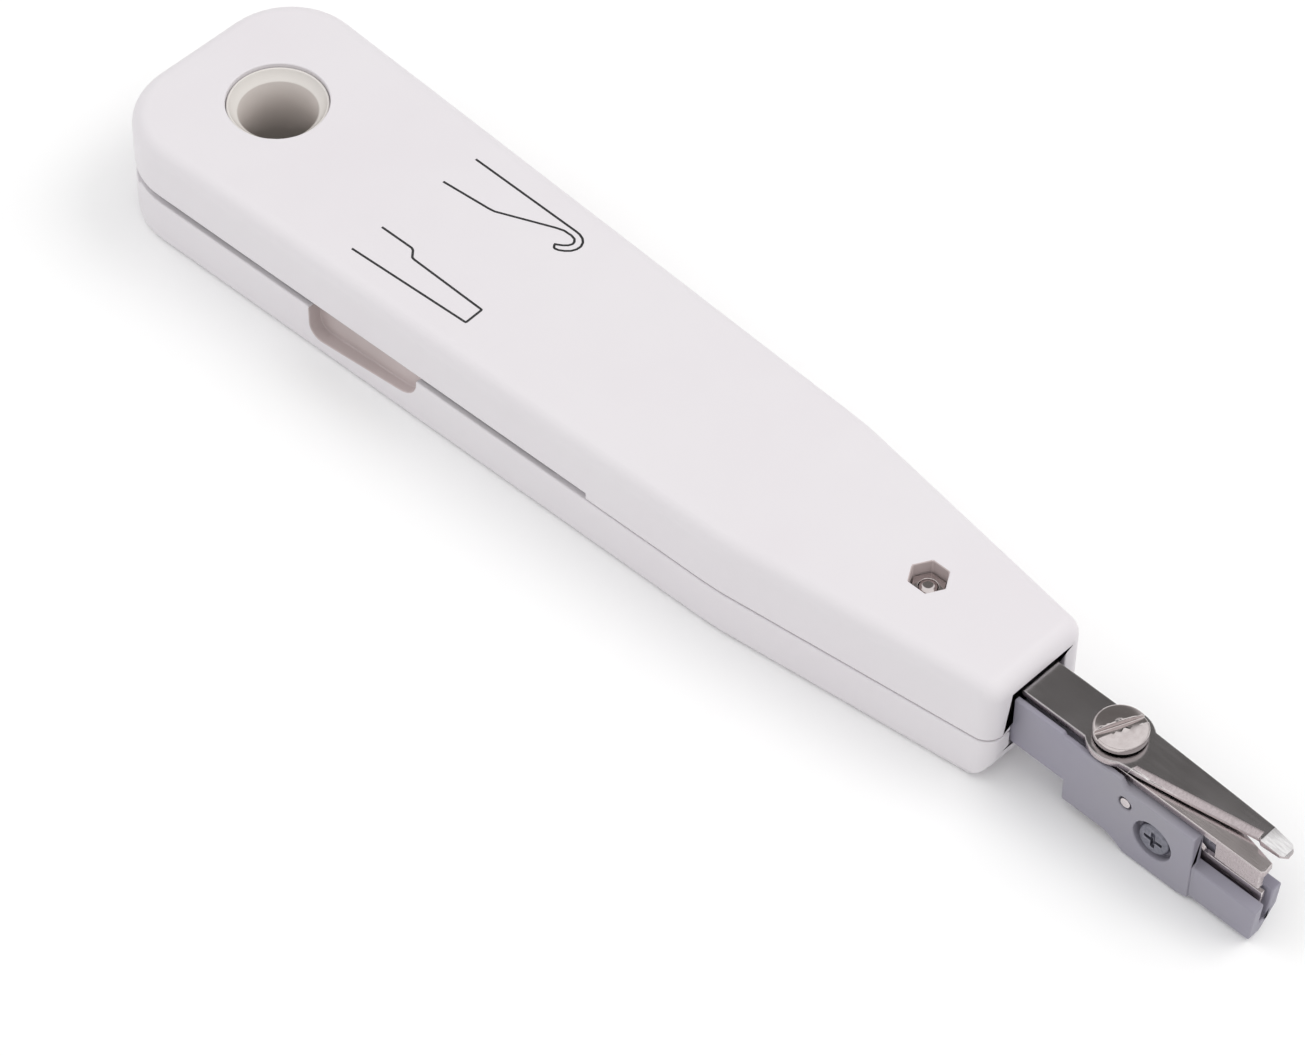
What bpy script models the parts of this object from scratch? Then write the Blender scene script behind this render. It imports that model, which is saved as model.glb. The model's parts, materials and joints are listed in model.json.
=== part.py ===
"""Punch down tool: two-shell handle, two fold-out tools, spring-loaded scissor head.

The tool lies on its back on Z = 0 and points along +X. The origin is the middle of its
footprint. All sizes below are in millimetres; meshes are written in metres.
"""
import math

import bmesh
import bpy
from mathutils import Matrix, Vector

MM = 0.001

# ---------------------------------------------------------------- driving dimensions
GAP = 0.3                   # between pieces that touch on the real tool
SLIDE_GAP = 0.25            # beside the fold-out tools, in their slots

HOUSING_LENGTH = 140.3      # tail end to nose end
HEAD_REACH = 36.2           # how far the head stands out of the nose
THICKNESS = 16.3            # back face to front face of the handle
TAIL_WIDTH = 33.6           # handle width where its sides meet the tail line
BEND_WIDTH = 26.2           # handle width where the taper gets steeper
NOSE_WIDTH = 15.7           # handle width at the nose end
BEND_FROM_TAIL = 102.1      # station of that bend
HOLE_FROM_TAIL = 14.9       # station of the hanging hole
SCREW_FROM_NOSE = 17.1      # station of the housing screw, back from the nose
SEAM_Z = 7.2                # height of the parting line
WALL = 1.8                  # shell wall
TAIL_ROUND = 10.0           # outline radii
BEND_ROUND = 45.0
NOSE_ROUND = 2.5
TOP_ROUND = 2.4             # edge rounding of the upper shell
BOTTOM_ROUND = 0.9          # edge rounding of the lower shell
NOSE_CHIN = 4.5             # rounding under the nose

EYELET_BORE_R = 5.0         # hanging hole
EYELET_WALL = 0.8           # wall of its sleeve
EYELET_LIP = 0.4            # rims stand out of the sleeve
EYELET_RIM_T = 1.4
EYELET_SINK = 0.5           # rim below the shell's face
EYELET_EDGE = 0.2           # bevel on the rim's outer edge
BOSS_WALL = 2.2             # wall of the shells' bosses round the eyelet

TOOL_SHEET = 0.6            # sheet of the fold-out tools
TOOL_LENGTH = 62.0          # fold-out tools, pivot to tip
TOOL_EYE_WALL = 3.4         # metal round the sleeve
TOOL_SHANK = 8.2            # width of the shanks
TOOL_INSET = 0.6            # outer edges below the handle's side wall
TOOL_ROOT = 16.0            # station where a shank leaves the eye
HOOK_R, HOOK_NECK = 2.2, 1.3
SLOT_END = 66.9             # side slots end this far from the hole
SLOT_WRAP = 6.0             # slots reach round the tail to this far from the tail end
WASHER_T = 0.5

NOTCH_START, NOTCH_END = 21.4, 39.3     # thumb notches, from the hole
NOTCH_DEPTH = 1.6
NOTCH_REACH = 4.9           # height of a notch at its tail end, from the seam
NOTCH_RISE = 1.3            # how much less it is at the other end
NOTCH_ROUNDS = (1.9, 3.0)   # its rounded ends

HEX_AF = 4.3                # hex recess, across flats
HEX_DEPTH = 3.6
HEX_PHASE = math.radians(1.0)           # how the nut's corners are turned
NUT_T = 1.5
THREAD_PLAY = 0.2           # a nut's bore round its screw
HOUSING_SCREW_R = 1.0
HOUSING_SCREW_HEAD_R = 1.9
HOUSING_SCREW_HEAD_T = 1.3
HOUSING_SCREW_SINK = 0.4    # head below the back face
SCREW_BOSS_R = 2.9
GUIDE_FROM_SCREW = 9.0      # rib that guides the head's shank, back from the housing screw

HEAD_TRAVEL = 7.0
HEAD_HALF = 4.1             # half width of the head block
HEAD_TOP = 11.0             # top of the block, under the blades
HEAD_SHANK_FLOOR = 4.9      # underside of the shank
HEAD_MID_FLOOR = 1.6        # underside behind the guide
HEAD_LOW = 0.1              # lowest point of the guide
SHANK_STEP = 7.8            # stations on the block, ahead of the nose
BELLY_START, BELLY_LOW = 13.4, 17.0
CHEEK_FROM_NOSE = 26.6
HEAD_BEHIND_NOSE = 31.4     # shank inside the handle
RIM_TOPS = (12.6, 12.2)     # near rim beside the blades, behind and ahead of its step
RIM_STEP, RIM_END = 6.9, 15.6
RIM_T = 0.8
CHEEK_INSET = 0.35          # near cheek inside the block's side
CHEEK_FAR = 0.3             # outer face of the far cheek
CHEEK_KEEL, CHEEK_CUT = 0.6, 4.2        # far cheek's underside: at the slot and at its outer face
CHEEK_TOP = 6.4             # top of the near cheek, beside the slot
CHEEK_RISE = 1.6            # how much higher the far cheek is
CHEEK_RAKE = 0.6            # how far the cheeks lean forward
CHEEK_BACK = 0.3            # cheeks end this far behind the blade's tip
OPENING_HALF = HEAD_HALF + GAP
OPENING_FLOOR = HEAD_SHANK_FLOOR - GAP

PIVOT_FROM_NOSE = 12.0      # scissor pivot ahead of the nose
BLADE_T = 0.9               # both scissor blades
BLADE_HALF = HEAD_HALF - RIM_T - GAP    # half width of the upper blade's shank
BLADE_REAR = 6.6            # upper blade's shank inside the nose
LOBE_PROUD = 1.05           # how far the upper blade widens round the pivot
GRIND_WIDTH, GRIND_DEPTH = 0.9, 0.5     # ground cutting bevel on the upper blade's near edge
SCISSOR_CLOSE = 5.0         # degrees that the lower blade turns over the full travel
TAIL_BEHIND_NOSE = 5.9      # lower blade's tail inside the nose
TAIL_HALF = 1.4
LIP_LENGTH, LIP_DROP, LIP_T = 6.3, 2.2, 0.9
CAM_OUT_Y = 6.4             # outer edge of the cam plate

PIVOT_SHAFT_R = 1.2
PIVOT_HEAD_LIP = 2.05       # head beyond the shaft
PIVOT_HEAD_T = 1.5
PIVOT_HEAD_CROWN = 0.35     # how much the head's middle stands above its shoulder
PIVOT_HEAD_SOFT = 0.3       # rounding of the shoulder
PIVOT_SLOT_HALF, PIVOT_SLOT_DEPTH = 0.5, 0.8
PIVOT_SLOT_TURN = math.radians(67.0)
BUSH_WALL = 0.7
RING_WALL = 0.8             # lower blade's metal round the bush
INSERT_WALL = 1.0
INSERT_TOP = 4.7
DOWEL_FROM_NOSE, DOWEL_Y, DOWEL_R = 3.2, 2.3, 0.5
DOWEL_GRIP = 2.0            # how deep the dowel sits in the block

PLATE_FROM_NOSE = 14.9      # slot between the cheeks, for the insertion blade
PLATE_Y = -1.75
PLATE_SLOT_HALF = 0.6
PLATE_SLOT_Z = 2.6
INSERTION_T = 0.6
INSERTION_TOP = 9.4
INSERTION_SHOW = 1.0        # blade above the near cheek
CLAMP_FROM_NOSE = 20.9      # cross-recessed screw in the head's side
CLAMP_Z = 5.6
CLAMP_RECESS_R = 2.75
CLAMP_RECESS_DEPTH = 1.3
CLAMP_HEAD_R, CLAMP_HEAD_T = 2.2, 0.8
CLAMP_SHAFT_R = 1.0
CROSS_REACH, CROSS_HALF = 1.3, 0.3
PIN_FROM_NOSE = 16.6
PIN_Z = 8.6
PIN_R = 0.7

SPRING_R = 3.0              # mean coil radius
SPRING_WIRE_R = 0.4
SPRING_TURNS = 8
SPRING_LENGTH = 27.0
SEAT_T = 2.0
SEAT_OVERLAP = 2.4          # how far the seat reaches behind the ribs that hold it
ROD_R = 1.5
ROD_DEPTH = 4.0             # rod inside the head

# ---------------------------------------------------------------- stations in the frame
TAIL_X = -(HOUSING_LENGTH + HEAD_REACH) / 2
NOSE_X = TAIL_X + HOUSING_LENGTH
TIP_X = NOSE_X + HEAD_REACH
HOLE_X = TAIL_X + HOLE_FROM_TAIL
BEND_X = TAIL_X + BEND_FROM_TAIL
SCREW_X = NOSE_X - SCREW_FROM_NOSE
PIVOT_X = NOSE_X + PIVOT_FROM_NOSE
CLAMP_X = NOSE_X + CLAMP_FROM_NOSE
PIN_X = NOSE_X + PIN_FROM_NOSE
HEAD_REAR_X = NOSE_X - HEAD_BEHIND_NOSE
SLOT_END_X = HOLE_X + SLOT_END
EYELET_SLEEVE_R = EYELET_BORE_R + EYELET_WALL
EYELET_RIM_R = EYELET_SLEEVE_R + EYELET_LIP
TOOL_EYE_R = EYELET_SLEEVE_R + TOOL_EYE_WALL
CHEEK_NEAR = CHEEK_INSET - HEAD_HALF
LOBE_R = BLADE_HALF + LOBE_PROUD
PIVOT_HEAD_R = PIVOT_SHAFT_R + PIVOT_HEAD_LIP
BUSH_R = PIVOT_SHAFT_R + BUSH_WALL
INSERT_R = PIVOT_SHAFT_R + INSERT_WALL
SLOT_HEIGHT = TOOL_SHEET + 2 * SLIDE_GAP
ROOF_Z = THICKNESS - WALL
LOWER_BLADE_Z = HEAD_TOP + GAP
UPPER_BLADE_Z = LOWER_BLADE_Z + BLADE_T + GAP
UPPER_BLADE_TOP = UPPER_BLADE_Z + BLADE_T
OPENING_ROOF = UPPER_BLADE_TOP + GAP
SPRING_Z = (HEAD_SHANK_FLOOR + HEAD_TOP) / 2
GUIDE_X = SCREW_X - GUIDE_FROM_SCREW
CHEEK_X = NOSE_X + CHEEK_FROM_NOSE
PLATE_X = NOSE_X + PLATE_FROM_NOSE
DOWEL_X = NOSE_X + DOWEL_FROM_NOSE
DOWEL_LOW = HEAD_TOP - DOWEL_GRIP
DOWEL_TOP = UPPER_BLADE_Z + BLADE_T / 2
TAIL_END_X = NOSE_X - TAIL_BEHIND_NOSE
CAM_TOP = LOWER_BLADE_Z + BLADE_T
SPRING_ROOM = SPRING_R + SPRING_WIRE_R + GAP    # clear space about the spring's axis
SPRING_END_X = HEAD_REAR_X - GAP
SPRING_START_X = SPRING_END_X - SPRING_LENGTH
SEAT_X = SPRING_START_X - GAP - SEAT_T
EPS = 0.5                   # how far a cutter runs past the face that it opens


# ---------------------------------------------------------------- mesh helpers
def mesh_object(name, vertices, faces):
    """A closed mesh from millimetre coordinates, with its faces turned outward."""
    mesh = bpy.data.meshes.new(name)
    mesh.from_pydata([Vector(v) * MM for v in vertices], [], faces)
    shell = bmesh.new()
    shell.from_mesh(mesh)
    bmesh.ops.recalc_face_normals(shell, faces=shell.faces)
    shell.to_mesh(mesh)
    shell.free()
    obj = bpy.data.objects.new(name, mesh)
    bpy.context.collection.objects.link(obj)
    return obj


def loft(name, rings):
    """A solid through rings of equally many points, with both ends capped."""
    count = len(rings[0])
    vertices = [point for ring in rings for point in ring]
    faces = [list(range(count)), [(len(rings) - 1) * count + i for i in range(count)]]
    for row in range(len(rings) - 1):
        for i in range(count):
            j = (i + 1) % count
            faces.append([row * count + i, row * count + j,
                          (row + 1) * count + j, (row + 1) * count + i])
    return mesh_object(name, vertices, faces)


def prism_z(name, outline, low, high):
    """An outline in XY, extruded from Z = low to Z = high."""
    return loft(name, [[(x, y, z) for x, y in outline] for z in (low, high)])


def prism_y(name, outline, low, high):
    """An outline in XZ, extruded from Y = low to Y = high."""
    return loft(name, [[(x, y, z) for x, z in outline] for y in (low, high)])


def box(name, low, high):
    (x0, y0, z0), (x1, y1, z1) = low, high
    return prism_z(name, [(x0, y0), (x1, y0), (x1, y1), (x0, y1)], z0, z1)


def circle(centre, radius, segments, phase=0.0):
    cx, cy = centre
    step = 2 * math.pi / segments
    return [(cx + radius * math.cos(phase + i * step), cy + radius * math.sin(phase + i * step))
            for i in range(segments)]


def arc(centre, radius, start_deg, end_deg, segments):
    """Points on an arc, both ends included."""
    cx, cy = centre
    angles = [math.radians(start_deg + (end_deg - start_deg) * i / segments)
              for i in range(segments + 1)]
    return [(cx + radius * math.cos(a), cy + radius * math.sin(a)) for a in angles]


def turned_z(name, centre, profile, segments=40):
    """A body of revolution about a Z axis through centre: profile is (radius, z) pairs."""
    rings = [[(x, y, z) for x, y in circle(centre, radius, segments)] for radius, z in profile]
    return loft(name, rings)


def cylinder_z(name, centre, radius, low, high, segments=40):
    return turned_z(name, centre, [(radius, low), (radius, high)], segments)


def cylinder_y(name, x, z, radius, low, high, segments=32):
    return prism_y(name, circle((x, z), radius, segments), low, high)


def cylinder_x(name, y, z, radius, low, high, segments=24):
    rings = [[(x, a, b) for a, b in circle((y, z), radius, segments)] for x in (low, high)]
    return loft(name, rings)


def hexagon(centre, across_flats):
    return circle(centre, across_flats / math.sqrt(3), 6, HEX_PHASE)


def combine(target, tool, operation):
    """Boolean of one mesh with another; the tool is used up."""
    modifier = target.modifiers.new(operation, "BOOLEAN")
    modifier.operation = operation
    modifier.solver = "EXACT"
    modifier.object = tool
    bpy.context.view_layer.update()
    graph = bpy.context.evaluated_depsgraph_get()
    result = bpy.data.meshes.new_from_object(target.evaluated_get(graph))
    target.modifiers.clear()
    target.data = result
    bpy.data.objects.remove(tool)


def cut(target, *tools):
    for tool in tools:
        combine(target, tool, "DIFFERENCE")


def join(target, *tools):
    for tool in tools:
        combine(target, tool, "UNION")


def rounded_outline(corners, radii, offset, arc_segments=12):
    """A convex outline moved inward by offset, each corner rounded to its radius less offset."""
    count = len(corners)
    lines = []
    for i in range(count):
        start, end = Vector(corners[i]), Vector(corners[(i + 1) % count])
        along = (end - start).normalized()
        inward = Vector((-along.y, along.x))
        lines.append((start + inward * offset, along))
    points = []
    for i in range(count):
        (p0, d0), (p1, d1) = lines[i - 1], lines[i]
        cross = d0.x * d1.y - d0.y * d1.x
        reach = ((p1.x - p0.x) * d1.y - (p1.y - p0.y) * d1.x) / cross
        corner = p0 + d0 * reach
        half_turn = math.atan2(cross, d0.dot(d1)) / 2
        radius = max(radii[i] - offset, 0.3)
        centre = corner + ((d1 - d0).normalized() * (radius / math.cos(half_turn)))
        first = math.degrees(math.atan2(-d0.x, d0.y))
        points += arc((centre.x, centre.y), radius, first, first + math.degrees(2 * half_turn),
                      arc_segments)
    return points


def housing_outline(offset):
    """Plan of the handle inset by offset, counter-clockwise from the tail's near corner."""
    half_tail, half_bend, half_nose = TAIL_WIDTH / 2, BEND_WIDTH / 2, NOSE_WIDTH / 2
    corners = [(TAIL_X, -half_tail), (BEND_X, -half_bend), (NOSE_X, -half_nose),
               (NOSE_X, half_nose), (BEND_X, half_bend), (TAIL_X, half_tail)]
    radii = [TAIL_ROUND, BEND_ROUND, NOSE_ROUND, NOSE_ROUND, BEND_ROUND, TAIL_ROUND]
    return rounded_outline(corners, radii, offset)


def half_width(x):
    """Half the handle's width between the tail and the bend."""
    share = (x - TAIL_X) / (BEND_X - TAIL_X)
    return (TAIL_WIDTH + (BEND_WIDTH - TAIL_WIDTH) * share) / 2


# ---------------------------------------------------------------- finishing
def material(name, colour, roughness, metallic):
    entry = bpy.data.materials.new(name)
    entry.use_nodes = True
    surface = entry.node_tree.nodes["Principled BSDF"]
    surface.inputs["Base Color"].default_value = (*colour, 1.0)
    surface.inputs["Roughness"].default_value = roughness
    surface.inputs["Metallic"].default_value = metallic
    return entry


def axis_empty(name, x, y, z, parent=None):
    """An empty on a joint's axis, which carries the pieces that move with the joint."""
    empty = bpy.data.objects.new(name, None)
    bpy.context.collection.objects.link(empty)
    world = Vector((x, y, z)) * MM
    empty.parent = parent
    empty.location = world - parent.location if parent else world
    return empty


def settle(obj, surface, carrier=None, round_piece=False):
    """Give a piece its material and hang it on its body's empty, its origin on the axis."""
    obj.data.materials.clear()
    obj.data.materials.append(surface)
    if round_piece:
        obj.data.shade_smooth()
        obj.data.set_sharp_from_angle(angle=math.radians(35))
    if carrier:
        origin = carrier.location + (carrier.parent.location if carrier.parent else Vector())
        obj.data.transform(Matrix.Translation(-origin))
        obj.parent = carrier
    return obj


# ---------------------------------------------------------------- handle
def shell_body(name, sections):
    """A solid lofted through (z, inset) sections of the handle's outline."""
    return loft(name, [[(x, y, z) for x, y in housing_outline(inset)] for z, inset in sections])


def rounded_sections(flat_z, face_z, radius, inset=0.0, steps=7):
    """Sections from a straight wall at flat_z to a face at face_z with a rounded edge."""
    way = 1 if face_z > flat_z else -1
    sections = [(flat_z, inset)]
    for i in range(steps + 1):
        angle = math.pi / 2 * i / steps
        sections.append((face_z - way * radius * (1 - math.sin(angle)),
                         inset + radius * (1 - math.cos(angle))))
    return sections


def slot_cutters(side, low, high):
    """Side slot for one fold-out tool: its own side (-1 near, 1 far) and round the tail."""
    wide = TAIL_WIDTH
    own_side = box("slot", (TAIL_X - EPS, 0.0, low), (SLOT_END_X, side * wide, high))
    round_tail = box("slot", (TAIL_X - EPS, -wide, low), (TAIL_X + SLOT_WRAP, wide, high))
    return own_side, round_tail


def notch_cutter(side, way):
    """Thumb notch in the side wall, below (way -1) or above the seam; it is deeper at the tail."""
    start, end = HOLE_X + NOTCH_START, HOLE_X + NOTCH_END
    round_0, round_1 = NOTCH_ROUNDS
    outline = [(start, -EPS)]
    outline += arc((start + round_0, NOTCH_REACH - round_0), round_0, 180.0, 90.0, 6)
    outline += arc((end - round_1, NOTCH_REACH - NOTCH_RISE - round_1), round_1, 90.0, 0.0, 6)
    outline += [(end, -EPS)]
    outer = side * (half_width(start) + EPS)
    inner = side * (half_width((start + end) / 2) - NOTCH_DEPTH)
    return prism_y("notch", [(x, SEAM_Z + way * height) for x, height in outline], outer, inner)


def notch_pad(side, low, high):
    """Thickening of the wall behind a thumb notch."""
    start, end = HOLE_X + NOTCH_START - WALL, HOLE_X + NOTCH_END + WALL
    middle = half_width((start + end) / 2)
    return box("pad", (start, side * (middle - WALL / 2), low),
               (end, side * (middle - NOTCH_DEPTH - WALL), high))


def cross_rib(x, thickness, low, high, half_gap, floor, roof):
    """A rib across the handle with a window |y| < half_gap, floor < z < roof."""
    wide = TAIL_WIDTH / 2
    rib = box("rib", (x, -wide, low), (x + thickness, wide, high))
    cut(rib, box("window", (x - EPS, -half_gap, floor), (x + thickness + EPS, half_gap, roof)))
    return rib


def inside_only(feature, inset, low, high):
    """Trim a rib or pad to the inside of the handle, running half into the wall."""
    mould = shell_body("mould", [(low, inset), (high, inset)])
    combine(feature, mould, "INTERSECT")
    return feature


def make_upper_shell():
    seam = SEAM_Z + GAP / 2
    shell = shell_body("upper_shell", rounded_sections(seam, THICKNESS, TOP_ROUND))
    cut(shell, shell_body("hollow", rounded_sections(seam - EPS, ROOF_Z, TOP_ROUND - 0.8, WALL, 3)))
    deep = WALL / 2
    roof = THICKNESS - deep
    hole = (HOLE_X, 0.0)
    boss_low = SEAM_Z + SLOT_HEIGHT + WASHER_T + GAP
    join(shell, cylinder_z("boss", hole, EYELET_SLEEVE_R + GAP + BOSS_WALL, boss_low, roof, 48))
    join(shell, cylinder_z("boss", (SCREW_X, 0.0), SCREW_BOSS_R, seam, roof, 32))
    pad = notch_pad(1, seam, roof)
    join(shell, inside_only(pad, deep, seam, roof))
    for x in seat_rib_stations():
        rib = cross_rib(x, WALL, seam, roof, SPRING_ROOM, seam - EPS, SPRING_Z + SPRING_ROOM)
        join(shell, inside_only(rib, deep, seam, roof))
    guide = cross_rib(GUIDE_X, WALL, seam, roof, HEAD_HALF + GAP, seam - EPS, OPENING_ROOF)
    join(shell, inside_only(guide, deep, seam, roof))
    join(shell, inside_only(cam_post(CAM_TOP + GAP, roof), deep, seam, roof))
    cut(shell,
        cylinder_z("bore", hole, EYELET_SLEEVE_R + GAP, boss_low - EPS, THICKNESS + EPS, 48),
        cylinder_z("rim", hole, EYELET_RIM_R + GAP, rim_ledge(), THICKNESS + EPS, 48),
        cylinder_z("bore", (SCREW_X, 0.0), HOUSING_SCREW_R + GAP, seam - EPS, THICKNESS + EPS, 24),
        prism_z("hex", hexagon((SCREW_X, 0.0), HEX_AF), THICKNESS - HEX_DEPTH, THICKNESS + EPS),
        box("opening", (NOSE_X - 3 * WALL, -OPENING_HALF, seam - EPS),
            (NOSE_X + EPS, OPENING_HALF, OPENING_ROOF)),
        *slot_cutters(-1, SEAM_Z, SEAM_Z + SLOT_HEIGHT),
        notch_cutter(1, 1))
    return shell


def seat_rib_stations():
    """Where the ribs before and behind the spring seat start."""
    return SEAT_X - GAP - WALL, SEAT_X + SEAT_T + GAP


def rim_ledge():
    """Height of the ledge under the eyelet's upper rim."""
    return THICKNESS - EYELET_SINK - EYELET_RIM_T - GAP


def chin_cutter():
    """Rounds the lower shell under the nose."""
    outline = [(NOSE_X + EPS, -EPS), (NOSE_X + EPS, NOSE_CHIN)]
    outline += [(NOSE_X - NOSE_CHIN + NOSE_CHIN * math.cos(a), NOSE_CHIN - NOSE_CHIN * math.sin(a))
                for a in (math.pi / 2 * i / 6 for i in range(6))]
    outline += [(NOSE_X - NOSE_CHIN, -EPS)]
    return prism_y("chin", outline, -NOSE_WIDTH, NOSE_WIDTH)


def make_lower_shell():
    seam = SEAM_Z - GAP / 2
    shell = shell_body("lower_shell", rounded_sections(seam, 0.0, BOTTOM_ROUND, steps=4))
    cut(shell, shell_body("hollow", [(seam + EPS, WALL), (WALL, WALL)]))
    deep = WALL / 2
    hole = (HOLE_X, 0.0)
    boss_high = SEAM_Z - SLOT_HEIGHT - WASHER_T - GAP
    join(shell, cylinder_z("boss", hole, EYELET_SLEEVE_R + GAP + BOSS_WALL, deep, boss_high, 48))
    join(shell, cylinder_z("boss", (SCREW_X, 0.0), SCREW_BOSS_R, deep, seam, 32))
    join(shell, inside_only(notch_pad(-1, deep, seam), deep, deep, seam))
    for x in seat_rib_stations():
        rib = cross_rib(x, WALL, deep, seam, SPRING_ROOM, SPRING_Z - SPRING_ROOM, seam + EPS)
        join(shell, inside_only(rib, deep, deep, seam))
    guide = cross_rib(GUIDE_X, WALL, deep, seam, HEAD_HALF + GAP, OPENING_FLOOR, seam + EPS)
    join(shell, inside_only(guide, deep, deep, seam))
    join(shell, inside_only(cam_post(deep, LOWER_BLADE_Z - GAP), WALL + GAP, deep,
                             LOWER_BLADE_Z - GAP))
    head_pocket = HOUSING_SCREW_SINK + HOUSING_SCREW_HEAD_T + GAP
    cut(shell,
        cylinder_z("bore", hole, EYELET_SLEEVE_R + GAP, -EPS, boss_high + EPS, 48),
        cylinder_z("rim", hole, EYELET_RIM_R + GAP, -EPS, THICKNESS - rim_ledge(), 48),
        cylinder_z("bore", (SCREW_X, 0.0), HOUSING_SCREW_R + GAP, -EPS, seam + EPS, 24),
        cylinder_z("pocket", (SCREW_X, 0.0), HOUSING_SCREW_HEAD_R + GAP, -EPS, head_pocket, 24),
        box("opening", (NOSE_X - 3 * WALL, -OPENING_HALF, OPENING_FLOOR),
            (NOSE_X + EPS, OPENING_HALF, seam + EPS)),
        chin_cutter(),
        *slot_cutters(1, SEAM_Z - SLOT_HEIGHT, SEAM_Z),
        notch_cutter(-1, -1))
    return shell


def make_eyelet_sleeve():
    """Sleeve with an upper rim; a shallow cone leads into the bore."""
    top = THICKNESS - EYELET_SINK
    sleeve = turned_z("eyelet_sleeve", (HOLE_X, 0.0),
                      [(EYELET_SLEEVE_R, EYELET_SINK + EYELET_RIM_T + GAP),
                       (EYELET_SLEEVE_R, top - EYELET_RIM_T), (EYELET_RIM_R, top - EYELET_RIM_T),
                       (EYELET_RIM_R, top - EYELET_EDGE), (EYELET_RIM_R - EYELET_EDGE, top)], 48)
    lead = EYELET_RIM_R - EYELET_BORE_R - 2 * EYELET_EDGE
    cut(sleeve, turned_z("bore", (HOLE_X, 0.0),
                         [(EYELET_BORE_R, 0.0), (EYELET_BORE_R, top - lead),
                          (EYELET_BORE_R + lead, top), (EYELET_BORE_R + lead, top + EPS)], 48))
    return sleeve


def make_eyelet_collar():
    """Lower rim ring, pressed on the end of the sleeve."""
    collar = turned_z("eyelet_collar", (HOLE_X, 0.0),
                      [(EYELET_RIM_R - EYELET_EDGE, EYELET_SINK),
                       (EYELET_RIM_R, EYELET_SINK + EYELET_EDGE),
                       (EYELET_RIM_R, EYELET_SINK + EYELET_RIM_T)], 48)
    cut(collar, cylinder_z("bore", (HOLE_X, 0.0), EYELET_BORE_R, 0.0, THICKNESS, 48))
    return collar


# ---------------------------------------------------------------- fold-out tools
def side_line(station, inset):
    """Point beside the handle's side wall, inset from its outer face, on the +Y side."""
    return HOLE_X + station, half_width(HOLE_X + station) - inset


def tool_sheet(name, side, points, low):
    """A stamped sheet: the eye round the sleeve, then points along the +Y side, mirrored."""
    outline = arc((HOLE_X, 0.0), TOOL_EYE_R, -20.0, -285.0, 24)
    outline += points
    sheet = prism_z(name, [(x, side * y) for x, y in outline], low, low + TOOL_SHEET)
    cut(sheet, cylinder_z("eye", (HOLE_X, 0.0), EYELET_SLEEVE_R + GAP, low - EPS,
                          low + TOOL_SHEET + EPS, 40))
    return sheet


def make_release_blade():
    """Straight outer edge, a shank that steps down to a narrower square-ended blade."""
    edge, inner, corner = TOOL_INSET, TOOL_INSET + TOOL_SHANK, 0.6
    step_start, step_end = TOOL_LENGTH - 28.0, TOOL_LENGTH - 24.0
    points = [side_line(TOOL_ROOT, edge), side_line(TOOL_LENGTH - corner, edge),
              side_line(TOOL_LENGTH, edge + corner), side_line(TOOL_LENGTH - 0.8, edge + 4.6),
              side_line(step_end, edge + 5.2), side_line(step_start, inner),
              side_line(TOOL_ROOT + 2.0, inner)]
    return tool_sheet("release_blade", -1, points, SEAM_Z + SLIDE_GAP)


def make_hook_tool():
    """Straight outer edge, a shank that narrows to a neck with a hook turned inward."""
    edge, inner = TOOL_INSET, TOOL_INSET + TOOL_SHANK
    centre_x, edge_y = side_line(TOOL_LENGTH - HOOK_R, edge)
    centre = (centre_x, edge_y - HOOK_R)
    points = [side_line(TOOL_ROOT, edge)]
    points += arc(centre, HOOK_R, 88.0, -130.0, 14)
    points += arc(centre, HOOK_R - HOOK_NECK, -130.0, 80.0, 10)
    points += [side_line(TOOL_LENGTH - 12.0, edge + 1.8), side_line(TOOL_LENGTH - 26.0, edge + 5.5),
               side_line(TOOL_LENGTH - 29.0, inner), side_line(TOOL_ROOT + 2.0, inner)]
    return tool_sheet("hook_tool", 1, points, SEAM_Z - SLIDE_GAP - TOOL_SHEET)


def make_tool_washer(name, low):
    washer = cylinder_z(name, (HOLE_X, 0.0), EYELET_SLEEVE_R + BOSS_WALL,
                        low, low + WASHER_T, 40)
    cut(washer, cylinder_z("bore", (HOLE_X, 0.0), EYELET_SLEEVE_R + GAP, 0.0, THICKNESS, 40))
    return washer


# ---------------------------------------------------------------- housing screw
def make_housing_nut():
    low = THICKNESS - HEX_DEPTH + GAP
    nut = prism_z("housing_nut", hexagon((SCREW_X, 0.0), HEX_AF - 2 * SLIDE_GAP), low, low + NUT_T)
    cut(nut, cylinder_z("thread", (SCREW_X, 0.0), HOUSING_SCREW_R + THREAD_PLAY, 0.0,
                        THICKNESS, 24))
    return nut


def make_housing_screw():
    """Pan-head screw from below, its tip just through the nut."""
    low = HOUSING_SCREW_SINK
    head_top = low + HOUSING_SCREW_HEAD_T
    tip = THICKNESS - HEX_DEPTH + GAP + NUT_T + 0.3
    screw = turned_z("housing_screw", (SCREW_X, 0.0),
                     [(HOUSING_SCREW_HEAD_R - 0.4, low), (HOUSING_SCREW_HEAD_R, low + 0.5),
                      (HOUSING_SCREW_HEAD_R, head_top), (HOUSING_SCREW_R, head_top),
                      (HOUSING_SCREW_R, tip - 0.3), (HOUSING_SCREW_R - 0.3, tip)], 24)
    for reach, half in ((1.1, CROSS_HALF), (CROSS_HALF, 1.1)):
        cut(screw, box("cross", (SCREW_X - reach, -half, low - EPS),
                       (SCREW_X + reach, half, low + 0.8)))
    return screw


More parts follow.
